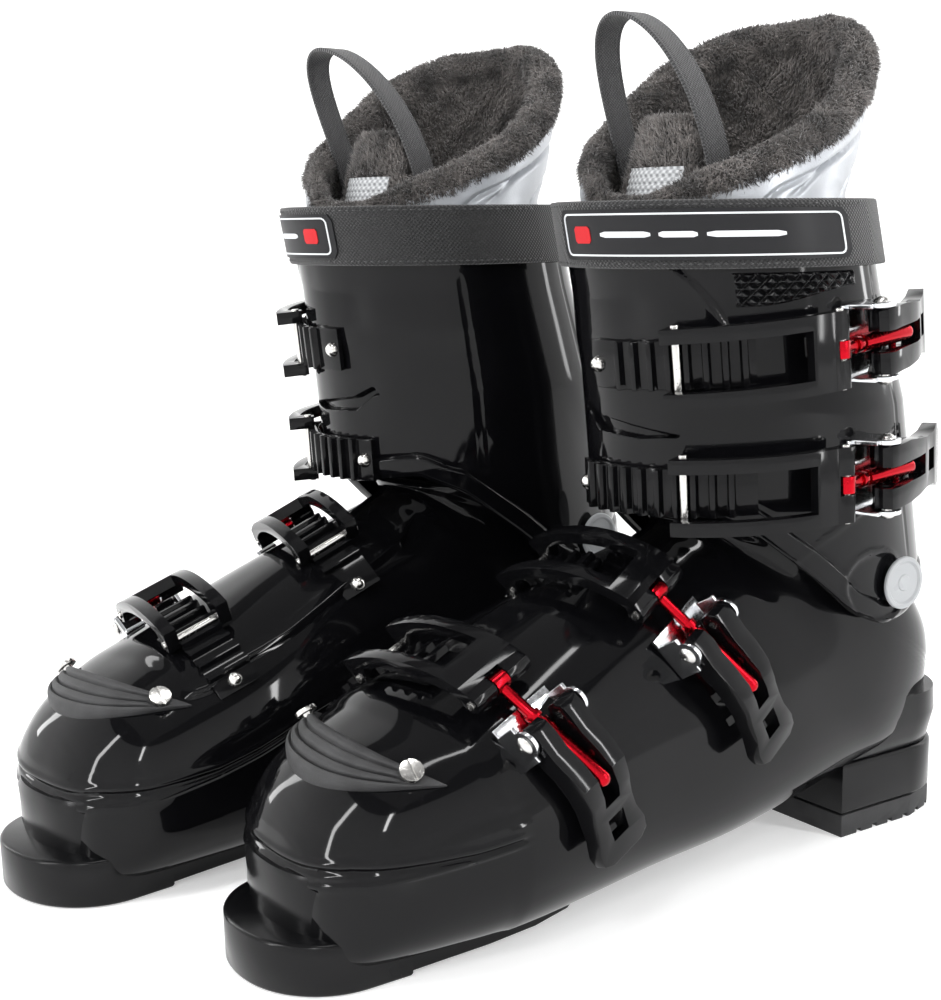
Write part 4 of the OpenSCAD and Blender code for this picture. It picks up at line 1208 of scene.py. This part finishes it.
def make_hardware(side):
    for b in BUCKLES:
        for part, material, width in MOVING_PARTS:
            refined(side, f"{b}_{part}", f"{b}_{part}_look", material, f"{b}_{part}_body", width,
                    part == "frame")
    for part in ("shell", "cuff"):
        for node, look, material, slot, width in FIXED_PARTS:
            refined(side, f"{part}_{node}", f"{part}_{look}_look", material, part, width)
    refined(side, "heel_tread", "heel_tread_look", "tread", "shell", 0.35)
    refined(side, "boot_board", "boot_board_look", "board", "shell", 0.0)


# ---- the pair ----

for number, side in enumerate(SIDES):
    for make in (make_shell, make_sole, make_toe_pad, make_cuff, make_knurl, make_pivots, make_liner_foot,
                 make_liner_shaft, make_tongue):
        make(side)
    make_collar_fur(side, 11 + number)
    make_tongue_fur(side, 21 + number)
    make_strap(side)
    make_patch(side)
    make_loop(side, LOOP_LEAN[side])
    make_hardware(side)


# ---- studio ----

def make_floor():
    """Studio sweep: a round floor that curves up into a wall on every side."""
    bend = [(1.2 + 0.9 * math.sin(t), 0.9 - 0.9 * math.cos(t)) for t in np.radians(np.arange(6, 91, 6))]
    profile = [(0.02, 0.0), (0.6, 0.0), (1.2, 0.0), *bend, (2.1, 2.6)]
    steps = 96
    points = [(r * math.cos(2 * math.pi * k / steps), r * math.sin(2 * math.pi * k / steps), h)
              for r, h in profile for k in range(steps)]
    faces = grid_faces(len(profile), steps, closed_columns=True).tolist()
    faces.append(list(reversed(range(steps))))
    mesh = bpy.data.meshes.new("floor")
    mesh.from_pydata(points, [], faces)
    mesh.shade_smooth()
    floor = add_object("floor", mesh)
    material, tree, shader = new_material("floor_white", (0.9, 0.9, 0.9), 0.7, Specular_IOR_Level=0.2,
                                          Emission_Color=(1, 1, 1, 1), Emission_Strength=0.36)
    link(tree, ramp(tree, noise(tree, 3), 0.88, 0.91), shader, "Base Color")
    floor.data.materials.append(material)


def make_light(name, at, target_height, size, power):
    """A soft box that looks at a point over the middle of the floor; size is in m, power in W."""
    data = bpy.data.lights.new(name, "AREA")
    data.shape = "RECTANGLE"
    data.size, data.size_y = size
    data.energy = power
    light = add_object(name, data)
    light.location = at
    light.rotation_euler = (Vector((0, 0, target_height)) - Vector(at)).to_track_quat("-Z", "Y").to_euler()


make_floor()
VIEW_TURN = math.radians(CAMERA_AZIMUTH)


def studio(right, back, up):
    """A place given from the camera's side: to its right, away from it, and up, in m."""
    return (right * math.cos(VIEW_TURN) - back * math.sin(VIEW_TURN),
            right * math.sin(VIEW_TURN) + back * math.cos(VIEW_TURN), up)


make_light("ceiling", (0, 0, 2.5), 0, (2.6, 2.6), 6)
for name, place, target_height, size, power in (
        ("key_left", (-0.9, -0.5, 0.6), 0.14, (0.06, 0.9), 4.6),
        ("strip_middle", (-0.3, -1.2, 1.2), 0.1, (0.07, 0.4), 3.6),
        ("strip_right", (0.95, -0.5, 0.6), 0.14, (0.05, 0.9), 4.6),
        ("top_bar", (0.1, -0.1, 1.3), 0.1, (0.8, 0.08), 4.0),
        ("rim_left", (-1.0, 0.5, 0.6), 0.15, (0.1, 0.9), 2.4),
        ("rim_right", (1.1, 0.5, 0.6), 0.15, (0.1, 0.9), 2.4)):
    make_light(name, studio(*place), target_height, size, power)
world = bpy.data.worlds.new("studio")
world.use_nodes = True
world.node_tree.nodes["Background"].inputs["Color"].default_value = (1, 1, 1, 1)
world.node_tree.nodes["Background"].inputs["Strength"].default_value = 0.2
bpy.context.scene.world = world
bpy.context.scene.view_settings.view_transform = "Standard"
